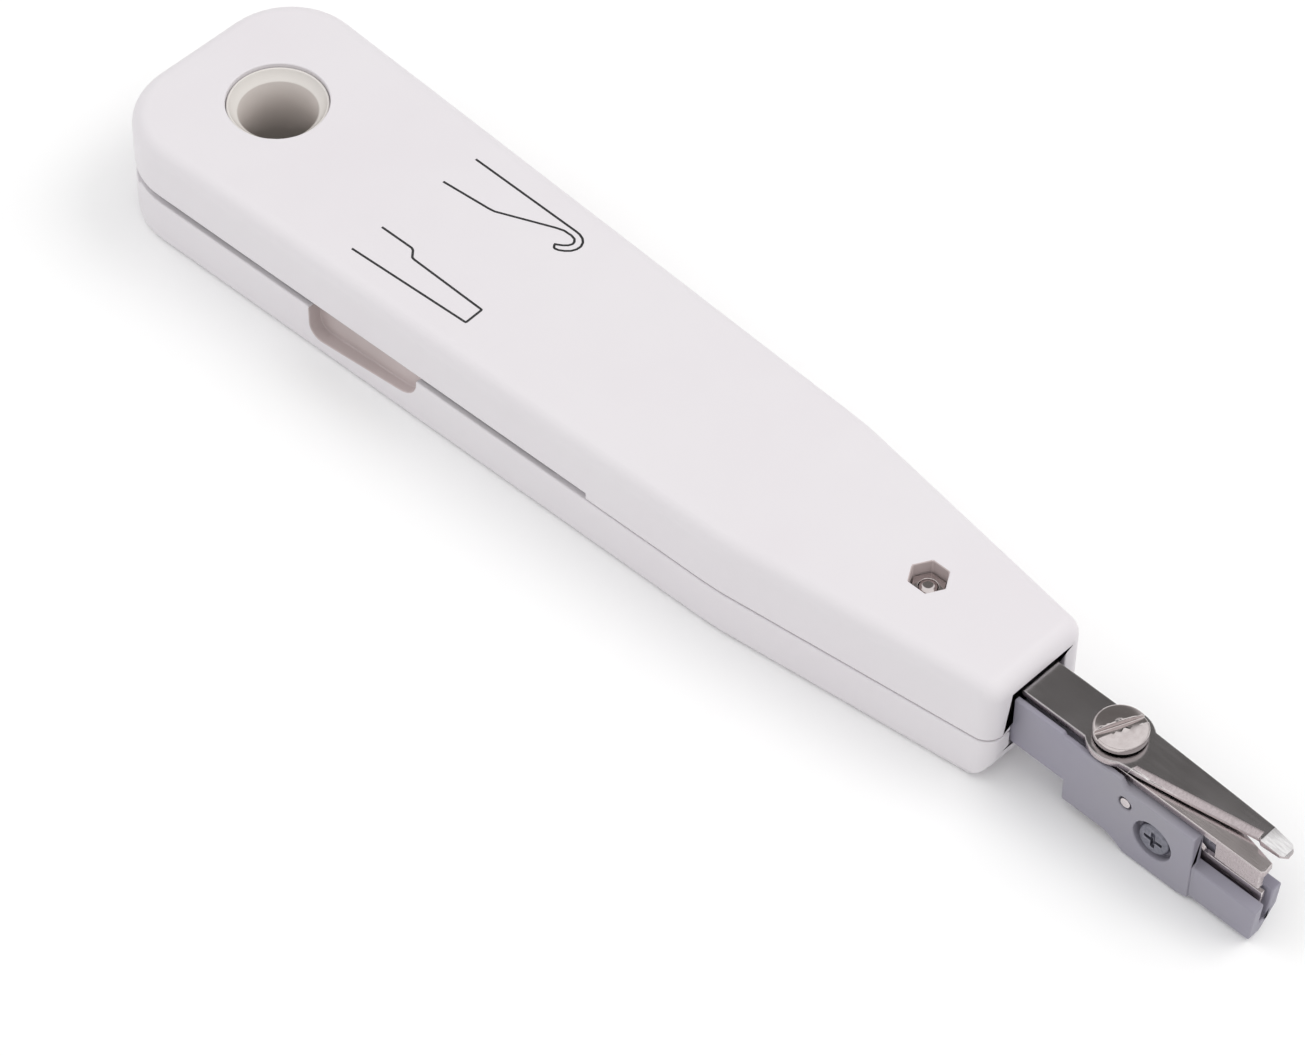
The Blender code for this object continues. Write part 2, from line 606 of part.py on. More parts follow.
# ---------------------------------------------------------------- sliding head
def block_side_profile():
    """Side view of the head block in XZ: shank, step, guide belly, cheeks with a raked front."""
    belly_x, low_x = NOSE_X + BELLY_START, NOSE_X + BELLY_LOW
    step_x = NOSE_X + SHANK_STEP
    drop = HEAD_MID_FLOOR - HEAD_LOW
    curve = [(belly_x + (low_x - belly_x) * i / 5, HEAD_MID_FLOOR - drop * (i / 5) ** 2)
             for i in range(6)]
    chin, front = HEAD_LOW + 0.4, TIP_X - CHEEK_BACK
    return ([(HEAD_REAR_X, HEAD_SHANK_FLOOR), (step_x, HEAD_SHANK_FLOOR), (step_x, HEAD_MID_FLOOR)]
            + curve
            + [(CHEEK_X - 1.6, HEAD_LOW), (CHEEK_X, chin), (front - CHEEK_RAKE, chin),
               (front, CHEEK_TOP + CHEEK_RISE), (CHEEK_X, CHEEK_TOP + CHEEK_RISE),
               (CHEEK_X, HEAD_TOP), (HEAD_REAR_X, HEAD_TOP)])


def rim_profile():
    """Side view of the near rim in XZ: it drops a little ahead of the nose, ends in a slope."""
    behind, ahead = RIM_TOPS
    root = HEAD_TOP - 1.0
    start, step, end = TAIL_END_X, NOSE_X + RIM_STEP, NOSE_X + RIM_END
    return [(start, root), (start, behind), (step, behind), (step + 0.4, ahead), (end, ahead),
            (end + 1.0, HEAD_TOP), (end + 1.0, root)]


def cheek_cutters():
    """Narrow the front to the two cheeks and slope the near cheek's top outward."""
    front, high = TIP_X + EPS, HEAD_TOP + EPS
    inner = PLATE_Y - PLATE_SLOT_HALF
    near_side = box("near", (CHEEK_X, -HEAD_HALF - EPS, -EPS), (front, CHEEK_NEAR, high))
    far_side = box("far", (CHEEK_X, CHEEK_FAR, -EPS), (front, HEAD_HALF + EPS, high))
    slope = [(CHEEK_NEAR - EPS, CHEEK_TOP - 0.8), (inner, CHEEK_TOP), (inner + EPS, CHEEK_TOP),
             (inner + EPS, high), (CHEEK_NEAR - EPS, high)]
    keel = [(PLATE_Y, -EPS), (PLATE_Y, CHEEK_KEEL), (CHEEK_FAR, CHEEK_CUT),
            (CHEEK_FAR + EPS, CHEEK_CUT), (CHEEK_FAR + EPS, -EPS)]
    near_top, far_low = (loft("slope", [[(x, y, z) for y, z in line] for x in (CHEEK_X, front)])
                         for line in (slope, keel))
    return near_side, far_side, near_top, far_low


def make_head_block():
    """Grey moulding: shank with a slot round the screw boss, rims, wire guide with cheeks."""
    block = prism_y("head_block", block_side_profile(), -HEAD_HALF, HEAD_HALF)
    join(block, prism_y("rim", rim_profile(), -HEAD_HALF, RIM_T - HEAD_HALF))
    slot = circle((SCREW_X, 0.0), SCREW_BOSS_R + GAP, 24)
    slot = [(x + (HEAD_TRAVEL if x > SCREW_X else 0.0), y) for x, y in slot]
    through = HEAD_HALF + EPS
    cut(block, *cheek_cutters())
    cut(block,
        prism_z("boss_slot", slot, 0.0, THICKNESS),
        box("plate_slot", (PLATE_X, PLATE_Y - PLATE_SLOT_HALF, PLATE_SLOT_Z),
            (TIP_X + EPS, PLATE_Y + PLATE_SLOT_HALF, THICKNESS)),
        cylinder_z("pivot_bore", (PIVOT_X, 0.0), PIVOT_SHAFT_R + GAP, 0.0, THICKNESS, 32),
        cylinder_z("insert_bore", (PIVOT_X, 0.0), INSERT_R + GAP, 0.0, INSERT_TOP + GAP, 32),
        cylinder_z("dowel_bore", (DOWEL_X, DOWEL_Y), DOWEL_R + GAP, DOWEL_LOW, THICKNESS, 16),
        cylinder_y("clamp_bore", CLAMP_X, CLAMP_Z, CLAMP_SHAFT_R + GAP, -through, through, 24),
        cylinder_y("clamp_recess", CLAMP_X, CLAMP_Z, CLAMP_RECESS_R, -through,
                   -HEAD_HALF + CLAMP_RECESS_DEPTH, 32),
        prism_y("clamp_nut_recess", circle((CLAMP_X, CLAMP_Z), CLAMP_RECESS_R, 6),
                HEAD_HALF - CLAMP_RECESS_DEPTH, through),
        cylinder_y("pin_bore", PIN_X, PIN_Z, PIN_R + SLIDE_GAP, -through, through, 16),
        cylinder_x("rod_bore", 0.0, SPRING_Z, ROD_R + GAP, HEAD_REAR_X - EPS,
                   HEAD_REAR_X + ROD_DEPTH + GAP, 24))
    return block


def grind_cutter(*edge):
    """Wedge above a slanted plane along a cutting edge; it runs out to nothing at its start."""
    rings = []
    for i, (x, y) in enumerate(edge):
        before, after = edge[max(i - 1, 0)], edge[min(i + 1, len(edge) - 1)]
        length = math.hypot(after[0] - before[0], after[1] - before[1])
        in_x, in_y = (before[1] - after[1]) / length, (after[0] - before[0]) / length
        share = 0.1 if i == 0 else 1.0
        section = [(-EPS, -GRIND_DEPTH * share * (1 + EPS / GRIND_WIDTH)),
                   (GRIND_WIDTH * share, 0.0), (GRIND_WIDTH * share, EPS), (-EPS, EPS)]
        rings.append([(x + in_x * off, y + in_y * off, UPPER_BLADE_TOP + up)
                      for off, up in section])
    return loft("grind", rings)


def make_upper_blade():
    """Fixed scissor blade: shank, round lobe at the pivot, taper to a bevelled tip."""
    rear = NOSE_X - BLADE_REAR
    lobe_turn = math.degrees(math.asin(BLADE_HALF / LOBE_R))
    outline = [(rear, -BLADE_HALF)]
    outline += arc((PIVOT_X, 0.0), LOBE_R, 180.0 + lobe_turn, 360.0 - lobe_turn - 4.0, 10)
    outline += [(TIP_X - 12.4, -1.65), (TIP_X - 3.9, -0.1), (TIP_X - 3.4, -0.45),
                (TIP_X - 0.8, -0.3), (TIP_X, 0.3), (TIP_X - 0.1, 1.3), (TIP_X - 0.8, 2.0),
                (TIP_X - 3.1, 2.2), (TIP_X - 8.9, 2.5)]
    outline += arc((PIVOT_X, 0.0), LOBE_R, lobe_turn, 180.0 - lobe_turn, 10)
    outline += [(rear, BLADE_HALF)]
    blade = prism_z("upper_blade", outline, UPPER_BLADE_Z, UPPER_BLADE_TOP)
    half_t = UPPER_BLADE_Z + BLADE_T / 2
    cut(blade, grind_cutter((PIVOT_X + LOBE_R, -2.2), (TIP_X - 12.4, -1.65), (TIP_X - 3.9, -0.1)))
    cut(blade,
        cylinder_z("pivot", (PIVOT_X, 0.0), PIVOT_SHAFT_R + GAP, 0.0, THICKNESS, 32),
        cylinder_z("dowel", (DOWEL_X, DOWEL_Y), DOWEL_R + GAP, 0.0, DOWEL_TOP + SLIDE_GAP, 16),
        prism_y("tip_bevel", [(TIP_X - 3.6, UPPER_BLADE_TOP + 0.01), (TIP_X, UPPER_BLADE_TOP + EPS),
                              (TIP_X + EPS, half_t), (TIP_X - 0.4, half_t)], -BLADE_HALF, LOBE_R))
    return blade


def make_lower_blade():
    """Moving scissor blade: narrow tail in the nose, ring at the pivot, lip at the front."""
    near, back, front = -BLADE_HALF, -1.1, TIP_X - 0.8
    low, high = LOWER_BLADE_Z, LOWER_BLADE_Z + BLADE_T
    ring = BUSH_R + GAP + RING_WALL
    neck_turn = math.degrees(math.asin(TAIL_HALF / ring))
    outline = [(TAIL_END_X, -TAIL_HALF)]
    outline += arc((PIVOT_X, 0.0), ring, 180.0 + neck_turn, 270.0, 8)
    outline += [(front - 0.4, near), (front, near + 0.4), (front - 0.2, back), (TIP_X - 7.5, 0.4)]
    outline += arc((PIVOT_X, 0.0), ring, 20.0, 180.0 - neck_turn, 12)
    outline += [(TAIL_END_X, TAIL_HALF)]
    blade = prism_z("lower_blade", outline, low, high)
    join(blade, box("lip", (front - 0.4 - LIP_LENGTH, near, low - LIP_DROP),
                    (front - 0.4, near + LIP_T, low + BLADE_T / 2)))
    cut(blade, cylinder_z("pivot", (PIVOT_X, 0.0), BUSH_R + GAP, 0.0, THICKNESS, 32))
    return blade


def cam_line():
    """Both ends of the cam's working face: it stays GAP clear of the tail's far corner."""
    reach = PIVOT_X - TAIL_END_X
    turn = math.radians(SCISSOR_CLOSE)
    start = (TAIL_END_X, TAIL_HALF + GAP)
    end_y = TAIL_HALF * math.cos(turn) - reach * math.sin(turn) + GAP
    end_x = PIVOT_X - reach * math.cos(turn) - TAIL_HALF * math.sin(turn) - HEAD_TRAVEL
    return start, (end_x, end_y)


def make_cam_plate():
    """Wedge plate fixed in the nose; its slanted face turns the lower blade as the head goes in."""
    (x0, y0), (x1, y1) = cam_line()
    outline = [(x1, y1 + GAP), (x0, y0 + GAP), (x0, CAM_OUT_Y), (x1 + 0.4, CAM_OUT_Y),
               (x1, CAM_OUT_Y - 0.4)]
    return prism_z("cam_plate", outline, LOWER_BLADE_Z, CAM_TOP)


def cam_post(low, high):
    """Post beside the head that clamps the cam plate's outer end."""
    (x0, _), (x1, _) = cam_line()
    inset = 2 * GAP
    return box("post", (x1 + inset, HEAD_HALF + GAP, low), (x0 - inset, TAIL_WIDTH / 2, high))


def make_pivot_screw():
    """Slotted cheese-head screw."""
    low = UPPER_BLADE_TOP + GAP
    top = low + PIVOT_HEAD_T
    tip = HEAD_MID_FLOOR + 1.3
    shoulder = top - PIVOT_HEAD_CROWN
    soft = PIVOT_HEAD_SOFT
    edge = [(PIVOT_HEAD_R - soft + soft * math.cos(a), shoulder - soft + soft * math.sin(a))
            for a in (math.pi / 2 * i / 3 for i in range(3))]
    crown = [((PIVOT_HEAD_R - soft) * k, shoulder + PIVOT_HEAD_CROWN * (1 - k * k))
             for k in (1.0, 0.8, 0.6, 0.4, 0.2)]
    screw = turned_z("pivot_screw", (PIVOT_X, 0.0),
                     [(PIVOT_SHAFT_R - 0.3, tip), (PIVOT_SHAFT_R, tip + 0.3), (PIVOT_SHAFT_R, low),
                      (PIVOT_HEAD_R, low)] + edge + crown, 40)
    reach = PIVOT_HEAD_R + EPS
    slot = box("slot", (-reach, -PIVOT_SLOT_HALF, top - PIVOT_SLOT_DEPTH),
               (reach, PIVOT_SLOT_HALF, top + EPS))
    slot.data.transform(Matrix.Rotation(PIVOT_SLOT_TURN, 4, "Z"))
    slot.data.transform(Matrix.Translation(Vector((PIVOT_X, 0.0, 0.0)) * MM))
    cut(screw, slot)
    return screw


def make_pivot_bush():
    low, high = LOWER_BLADE_Z, UPPER_BLADE_Z - GAP
    bush = cylinder_z("pivot_bush", (PIVOT_X, 0.0), BUSH_R, low, high, 32)
    cut(bush, cylinder_z("bore", (PIVOT_X, 0.0), PIVOT_SHAFT_R + GAP / 2, 0.0, THICKNESS, 32))
    return bush


def make_pivot_insert():
    low, high, edge = HEAD_MID_FLOOR + GAP, INSERT_TOP, 0.2
    insert = turned_z("pivot_insert", (PIVOT_X, 0.0),
                      [(INSERT_R - edge, low), (INSERT_R, low + edge), (INSERT_R, high - edge),
                       (INSERT_R - edge, high)], 32)
    cut(insert, cylinder_z("thread", (PIVOT_X, 0.0), PIVOT_SHAFT_R + GAP / 2, 0.0, THICKNESS, 32))
    return insert


def make_insertion_blade():
    """Steel plate in the slot between the cheeks."""
    start, front = PLATE_X + GAP, TIP_X - CHEEK_BACK - CHEEK_RAKE - GAP
    low, show = PLATE_SLOT_Z + GAP, CHEEK_TOP + INSERTION_SHOW
    outline = [(start, low), (front - 0.5, low), (front, CHEEK_TOP), (front, show), (CHEEK_X, show),
               (CHEEK_X - 3.0, INSERTION_TOP), (start, INSERTION_TOP)]
    near, far = PLATE_Y - INSERTION_T / 2, PLATE_Y + INSERTION_T / 2
    blade = prism_y("insertion_blade", outline, near, far)
    cut(blade, cylinder_y("bore", CLAMP_X, CLAMP_Z, CLAMP_SHAFT_R + GAP, near - EPS, far + EPS, 24),
        cylinder_y("bore", PIN_X, PIN_Z, PIN_R + SLIDE_GAP, near - EPS, far + EPS, 16))
    return blade


def make_clamp_screw():
    """Cross-recessed screw across the head."""
    seat = -HEAD_HALF + CLAMP_RECESS_DEPTH - GAP
    head = seat - CLAMP_HEAD_T
    rings = [(CLAMP_HEAD_R - 0.3, head), (CLAMP_HEAD_R, head + 0.3), (CLAMP_HEAD_R, seat),
             (CLAMP_SHAFT_R, seat), (CLAMP_SHAFT_R, HEAD_HALF - GAP)]
    screw = loft("clamp_screw", [[(x, y, z) for x, z in circle((CLAMP_X, CLAMP_Z), radius, 28)]
                                 for radius, y in rings])
    for reach, half in ((CROSS_REACH, CROSS_HALF), (CROSS_HALF, CROSS_REACH)):
        cut(screw, box("cross", (CLAMP_X - reach, head - EPS, CLAMP_Z - half),
                       (CLAMP_X + reach, head + 0.6, CLAMP_Z + half)))
    return screw


def make_clamp_nut():
    low, high = HEAD_HALF - CLAMP_RECESS_DEPTH + GAP, HEAD_HALF - 0.1
    nut = prism_y("clamp_nut", circle((CLAMP_X, CLAMP_Z), CLAMP_RECESS_R - GAP, 6), low, high)
    cut(nut, cylinder_y("thread", CLAMP_X, CLAMP_Z, CLAMP_SHAFT_R + THREAD_PLAY, low - EPS,
                        high + EPS, 24))
    return nut


def make_cross_pin():
    half = HEAD_HALF - 0.1
    return cylinder_y("cross_pin", PIN_X, PIN_Z, PIN_R, -half, half, 16)


def make_blade_dowel():
    return cylinder_z("blade_dowel", (DOWEL_X, DOWEL_Y), DOWEL_R, DOWEL_LOW + GAP, DOWEL_TOP, 16)


# ---------------------------------------------------------------- spring
def make_main_spring():
    """Round wire on a helix, radius SPRING_R, pitch so that the ends touch seat and head."""
    steps_per_turn, sides = 20, 8
    span = SPRING_LENGTH - 2 * SPRING_WIRE_R
    total = SPRING_TURNS * steps_per_turn
    rings = []
    for i in range(total + 1):
        angle = 2 * math.pi * i / steps_per_turn
        x = SPRING_START_X + SPRING_WIRE_R + span * i / total
        out = Vector((0.0, math.cos(angle), math.sin(angle)))
        along = Vector((span / total * steps_per_turn / (2 * math.pi),
                        -SPRING_R * math.sin(angle), SPRING_R * math.cos(angle))).normalized()
        across = along.cross(out)
        centre = Vector((x, 0.0, SPRING_Z)) + out * SPRING_R
        rings.append([tuple(centre + SPRING_WIRE_R * (out * math.cos(b) + across * math.sin(b)))
                      for b in (2 * math.pi * k / sides for k in range(sides))])
    return loft("main_spring", rings)


def make_spring_rod():
    """Rod fixed in the head's rear; it dips into the seat's hole when the head is pushed in."""
    return cylinder_x("spring_rod", 0.0, SPRING_Z, ROD_R, SEAT_X + SEAT_T / 2 + HEAD_TRAVEL,
                      HEAD_REAR_X + ROD_DEPTH, 24)


def make_spring_seat():
    """Plate held between the shells' ribs, with a hole for the rod."""
    half = SPRING_ROOM + SEAT_OVERLAP
    seat = box("spring_seat", (SEAT_X, -half, WALL + GAP),
               (SEAT_X + SEAT_T, half, SPRING_Z + SPRING_ROOM + SEAT_OVERLAP))
    cut(seat, cylinder_x("hole", 0.0, SPRING_Z, ROD_R + GAP, SEAT_X - EPS, SEAT_X + SEAT_T + EPS, 24))
    return seat


# ---------------------------------------------------------------- assembly
def main():
    for obj in list(bpy.data.objects):
        bpy.data.objects.remove(obj)

    white = material("white_abs", (0.80, 0.78, 0.79), 0.38, 0.0)
    ivory = material("ivory_plastic", (0.74, 0.71, 0.69), 0.35, 0.0)
    grey = material("grey_plastic", (0.29, 0.28, 0.32), 0.5, 0.0)
    dark_steel = material("dark_steel", (0.32, 0.31, 0.31), 0.3, 1.0)
    steel = material("steel", (0.55, 0.54, 0.53), 0.3, 1.0)
    nickel = material("nickel", (0.66, 0.63, 0.60), 0.2, 1.0)
    brass = material("brass", (0.70, 0.55, 0.28), 0.35, 1.0)

    fold_axis = axis_empty("fold_axis", HOLE_X, 0.0, SEAM_Z)
    head_axis = axis_empty("head_axis", NOSE_X, 0.0, SPRING_Z)
    scissor_axis = axis_empty("scissor_axis", PIVOT_X, 0.0, LOWER_BLADE_Z, head_axis)

    settle(make_upper_shell(), white)
    settle(make_lower_shell(), white)
    settle(make_eyelet_sleeve(), ivory, round_piece=True)
    settle(make_eyelet_collar(), ivory, round_piece=True)
    upper_washer_z = SEAM_Z + SLOT_HEIGHT + GAP - SLIDE_GAP
    lower_washer_z = SEAM_Z - SLOT_HEIGHT - WASHER_T - GAP + SLIDE_GAP
    settle(make_tool_washer("tool_washer_upper", upper_washer_z), steel)
    settle(make_tool_washer("tool_washer_lower", lower_washer_z), steel)
    settle(make_housing_nut(), nickel)
    settle(make_housing_screw(), nickel, round_piece=True)
    settle(make_cam_plate(), dark_steel)
    settle(make_spring_seat(), steel)
    settle(make_main_spring(), steel, round_piece=True)

    settle(make_release_blade(), steel, fold_axis)
    settle(make_hook_tool(), steel, fold_axis)

    settle(make_head_block(), grey, head_axis)
    settle(make_spring_rod(), steel, head_axis, True)
    settle(make_upper_blade(), dark_steel, head_axis)
    settle(make_blade_dowel(), steel, head_axis, True)
    settle(make_pivot_screw(), nickel, head_axis, True)
    settle(make_pivot_bush(), steel, head_axis, True)
    settle(make_pivot_insert(), brass, head_axis, True)
    settle(make_insertion_blade(), steel, head_axis)
    settle(make_clamp_screw(), nickel, head_axis, True)
    settle(make_clamp_nut(), nickel, head_axis)
    settle(make_cross_pin(), steel, head_axis, True)

    settle(make_lower_blade(), steel, scissor_axis)


main()
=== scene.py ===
# %% [markdown]
# # Punch down tool: the finish
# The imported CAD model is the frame: every piece already has its true size and place. This
# script loads it, gives each visible piece its rounded edges and its material, adds the pieces
# that only the eye needs, and sets a pale studio round it. All lengths are in metres.

import json
import math

import bmesh
import bpy
import numpy as np
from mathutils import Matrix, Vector

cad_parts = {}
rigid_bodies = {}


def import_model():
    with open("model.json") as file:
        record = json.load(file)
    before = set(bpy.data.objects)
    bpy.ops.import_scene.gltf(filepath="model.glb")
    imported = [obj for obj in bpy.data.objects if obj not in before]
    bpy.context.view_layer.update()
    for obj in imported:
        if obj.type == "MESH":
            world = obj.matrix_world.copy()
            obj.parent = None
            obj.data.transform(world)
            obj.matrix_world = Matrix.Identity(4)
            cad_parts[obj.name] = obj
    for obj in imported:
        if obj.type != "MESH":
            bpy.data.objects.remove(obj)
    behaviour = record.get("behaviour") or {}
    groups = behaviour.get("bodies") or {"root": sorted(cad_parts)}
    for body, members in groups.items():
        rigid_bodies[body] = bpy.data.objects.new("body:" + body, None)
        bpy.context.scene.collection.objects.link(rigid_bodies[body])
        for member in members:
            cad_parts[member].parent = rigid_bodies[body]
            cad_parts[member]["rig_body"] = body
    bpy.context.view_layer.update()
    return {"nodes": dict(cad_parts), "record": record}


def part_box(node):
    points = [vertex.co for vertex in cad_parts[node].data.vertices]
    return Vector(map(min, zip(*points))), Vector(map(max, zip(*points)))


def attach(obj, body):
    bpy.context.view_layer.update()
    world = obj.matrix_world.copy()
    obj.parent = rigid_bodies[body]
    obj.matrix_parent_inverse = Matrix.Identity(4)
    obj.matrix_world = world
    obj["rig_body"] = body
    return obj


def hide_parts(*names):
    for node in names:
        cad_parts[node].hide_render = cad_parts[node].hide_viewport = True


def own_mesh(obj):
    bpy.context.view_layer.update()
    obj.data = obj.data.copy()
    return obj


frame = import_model()
MM = 0.001  # one millimetre in metres
bodies = {name: o["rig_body"] for name, o in frame["nodes"].items()}
slots = {p["node"]: p["material_slot"] for p in frame["record"]["subparts"]}

# %% [markdown]
# ## Stations
# Typed numbers would work too, but they would go wrong as soon as the CAD changes.


# %% Read the stations
def middle(node):
    """Centre of a CAD node's box."""
    low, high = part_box(node)
    return (low + high) / 2


HOLE = middle("eyelet_sleeve")
PIVOT = middle("pivot_bush")
SCREW = middle("housing_screw")
FACE_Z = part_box("upper_shell")[1].z
SCREW_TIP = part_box("housing_screw")[1].z
print("hole x", round(HOLE.x, 5), "pivot x", round(PIVOT.x, 5), "front face z", round(FACE_Z, 5))

# %% [markdown]
# ## Camera
# The tool lies on its back, and the camera looks down on it from beyond its nose, a little to
# one side. A long lens from far off keeps its sides nearly parallel. A camera can also be aimed
# with a constraint, but nothing moves here, so its place and its turn are plain numbers.

# %% Camera
EYE = (0.271655, -0.294944, 0.469179)  # metres
TILT = (40.2512, -0.578, 44.2153)  # degrees
LENS = 142.82  # millimetres
NEAREST, FARTHEST = 0.01, 20.0  # metres

scene = bpy.context.scene
camera_data = bpy.data.cameras.new("view")
camera_data.lens = LENS
camera_data.clip_start, camera_data.clip_end = NEAREST, FARTHEST
camera = bpy.data.objects.new("view", camera_data)
camera.location = EYE
camera.rotation_euler = [math.radians(a) for a in TILT]
scene.collection.objects.link(camera)
scene.camera = camera
print("camera at", [round(v, 3) for v in EYE], "lens", LENS)

# %% [markdown]
# ## Lamps
# White plastic needs soft light: a small hard lamp would draw black shadows and lose its rounds.
# A large soft lamp stands behind the tool on the right, and a weak one fills from the left. Both
# are left out of mirror reflections, because a steel flat that met one would turn plain white.

# %% Lamps
scene.view_settings.view_transform = "Standard"
AIM = Vector((0.02, 0.0, 0.0))
LAMP_WIDE = 0.6  # metres


def soft_light(name, place, power, tint):
    """A square area light at place, of power watts, that looks at AIM."""
    data = bpy.data.lights.new(name, "AREA")
    data.size, data.energy, data.color = LAMP_WIDE, power, tint
    light = bpy.data.objects.new(name, data)
    light.location = place
    light.rotation_euler = (AIM - Vector(place)).to_track_quat("-Z", "Y").to_euler()
    light.visible_glossy = False
    scene.collection.objects.link(light)


soft_light("key_light", place=(0.35, 0.45, 0.75), power=2.2, tint=(1.0, 0.99, 0.97))
soft_light("fill_light", place=(-0.55, -0.35, 0.5), power=0.6, tint=(0.98, 0.98, 1.0))

# %% [markdown]
# ## Shader helpers
# A sky and a material are both trees of nodes. Written out, each node takes three or four lines
# that say little, so three helpers make a node, a range and a mix of colours in one line each.


# %% Shader helpers
def add(tree, kind, links=(), **values):
    """A node with its properties and socket values set and its inputs linked."""
    made = tree.nodes.new("ShaderNode" + kind)
    for key, value in values.items():
        if key in made.bl_rna.properties:
            setattr(made, key, value)
        elif key in made.inputs:
            made.inputs[key].default_value = value
    for socket, source in links:
        tree.links.new(source, made.inputs[socket])
    return made


def feed(tree, node, entries):
    """Each entry is (input number, value), and a value is a socket to link or a plain value."""
    for place, value in entries:
        if isinstance(value, bpy.types.NodeSocket):
            tree.links.new(value, node.inputs[place])
        else:
            node.inputs[place].default_value = value


def remap(tree, value, low, high, to_low, to_high):
    """Low to high becomes to_low to to_high, evenly, and what lies outside is clamped."""
    made = add(tree, "MapRange")
    feed(tree, made, enumerate((value, low, high, to_low, to_high)))
    return made.outputs[0]


def mix_colours(tree, factor, a, b):
    """Colour a times (1 - factor), plus colour b times factor."""
    made = add(tree, "Mix", data_type="RGBA")
    feed(tree, made, ((0, factor), (6, a), (7, b)))
    return made.outputs[2]


# %% [markdown]
# ## Sky
# Steel shows only what it mirrors. The sky is a little darker towards the horizon, so that the
# steel's rounds have a light and a dark side, and a dark card hangs in it high behind the tool
# on the left, where its flats look: that is why they are grey and not white. A card could be a
# mesh, but painted into the sky it casts no shadow.

# %% Sky
SKY_STOPS = ((0.0, 0.42), (0.7, 1.04))  # (height of a direction, brightness)
CARD_WAY, CARD_TONE = Vector((-0.52, 0.56, 0.64)).normalized(), (0.19, 0.185, 0.18, 1)
CARD_INSIDE, CARD_OUTSIDE = math.cos(math.radians(17)), math.cos(math.radians(23))

world = bpy.data.worlds.new("studio_sky")
world.use_nodes = True
scene.world = world
sky = world.node_tree
direction = add(sky, "TexCoord").outputs["Generated"]
split = add(sky, "SeparateXYZ", [(0, direction)])
ramp = add(sky, "ValToRGB", [("Fac", split.outputs["Z"])])
for element, (at, tone) in zip(ramp.color_ramp.elements, SKY_STOPS):
    element.position, element.color = at, (tone, tone, tone, 1)
near_card = add(sky, "VectorMath", [(0, direction)], operation="DOT_PRODUCT")
near_card.inputs[1].default_value = CARD_WAY
card = remap(sky, near_card.outputs["Value"], CARD_OUTSIDE, CARD_INSIDE, 0.0, 1.0)
sky.links.new(mix_colours(sky, card, ramp.outputs["Color"], CARD_TONE),
              sky.nodes["Background"].inputs["Color"])
print("sky nodes:", len(sky.nodes))

# %% [markdown]
# ## Node groups
# Three effects turn up on several materials, so each is a group that is built once: the fine
# spark-eroded grain of moulded plastic, the lines that grinding leaves on sheet steel, and a
# mask of the edges, which get a painted highlight that partly stands for wear.


# %% A group builder
FLOAT, COLOUR, VECTOR = "NodeSocketFloat", "NodeSocketColor", "NodeSocketVector"


def new_group(name, inputs, outputs):
    """An empty node group with its sockets, its input node and its output node."""
    tree = bpy.data.node_groups.new(name, "ShaderNodeTree")
    for label, kind, value in inputs:
        socket = tree.interface.new_socket(name=label, in_out="INPUT", socket_type=kind)
        socket.default_value = value
    for label, kind in outputs:
        tree.interface.new_socket(name=label, in_out="OUTPUT", socket_type=kind)
    return tree, tree.nodes.new("NodeGroupInput"), tree.nodes.new("NodeGroupOutput")


def math_node(tree, operation, a, b):
    """Two values put through one operation; each is a socket or a number."""
    made = add(tree, "Math", operation=operation)
    feed(tree, made, ((0, a), (1, b)))
    return made.outputs[0]


def weighted(tree, a, b, share):
    """a times share, plus b times (1 - share)."""
    return math_node(tree, "ADD", math_node(tree, "MULTIPLY", a, share),
                     math_node(tree, "MULTIPLY", b, 1.0 - share))


# %% [markdown]
# ## Edge highlights
# Every edge gets a colour of its own, mostly lighter than the flats beside it: a painted
# highlight, partly standing for handling and grinding wear. Edges could be picked out by hand,
# but a mask that finds them follows any change of shape. It compares the surface's own normal
# with one averaged over a small radius: on a flat they agree, and near an edge they differ.

# %% Edge mask
EDGE_REACH, EDGE_SAMPLES = 0.00035, 6
EDGE_STARTS, EDGE_FULL = 0.02, 0.22  # how far the two normals differ

edge_tree, edge_in, edge_out = new_group(
    "edge_mask", [("Amount", FLOAT, 1.0)], [("Mask", FLOAT)])
averaged = add(edge_tree, "Bevel", samples=EDGE_SAMPLES, Radius=EDGE_REACH)
own = add(edge_tree, "NewGeometry")
agree = add(edge_tree, "VectorMath", [(0, averaged.outputs[0]), (1, own.outputs["Normal"])],
            operation="DOT_PRODUCT")
differ = math_node(edge_tree, "SUBTRACT", 1.0, agree.outputs["Value"])
wide = remap(edge_tree, differ, EDGE_STARTS, EDGE_FULL, 0.0, 1.0)
edge_tree.links.new(math_node(edge_tree, "MULTIPLY", wide, edge_in.outputs["Amount"]),
                    edge_out.inputs["Mask"])

# %% [markdown]
# ## Moulded grain
# The handle's mould was spark eroded, which leaves grains about a seventh of a millimetre
# across, and plastic that cools unevenly has faint clouds of colour about two centimetres wide.
# Both are noise on the piece's own coordinates, so nothing has to be unwrapped, and a third
# noise between them in size makes some patches smoother, as hands do.

# %% Moulded grain
GRAIN_PER_M, CLOUD_PER_M = 7000.0, 45.0
PATCH_PER_M, PATCH_SHARE = 225.0, 0.7

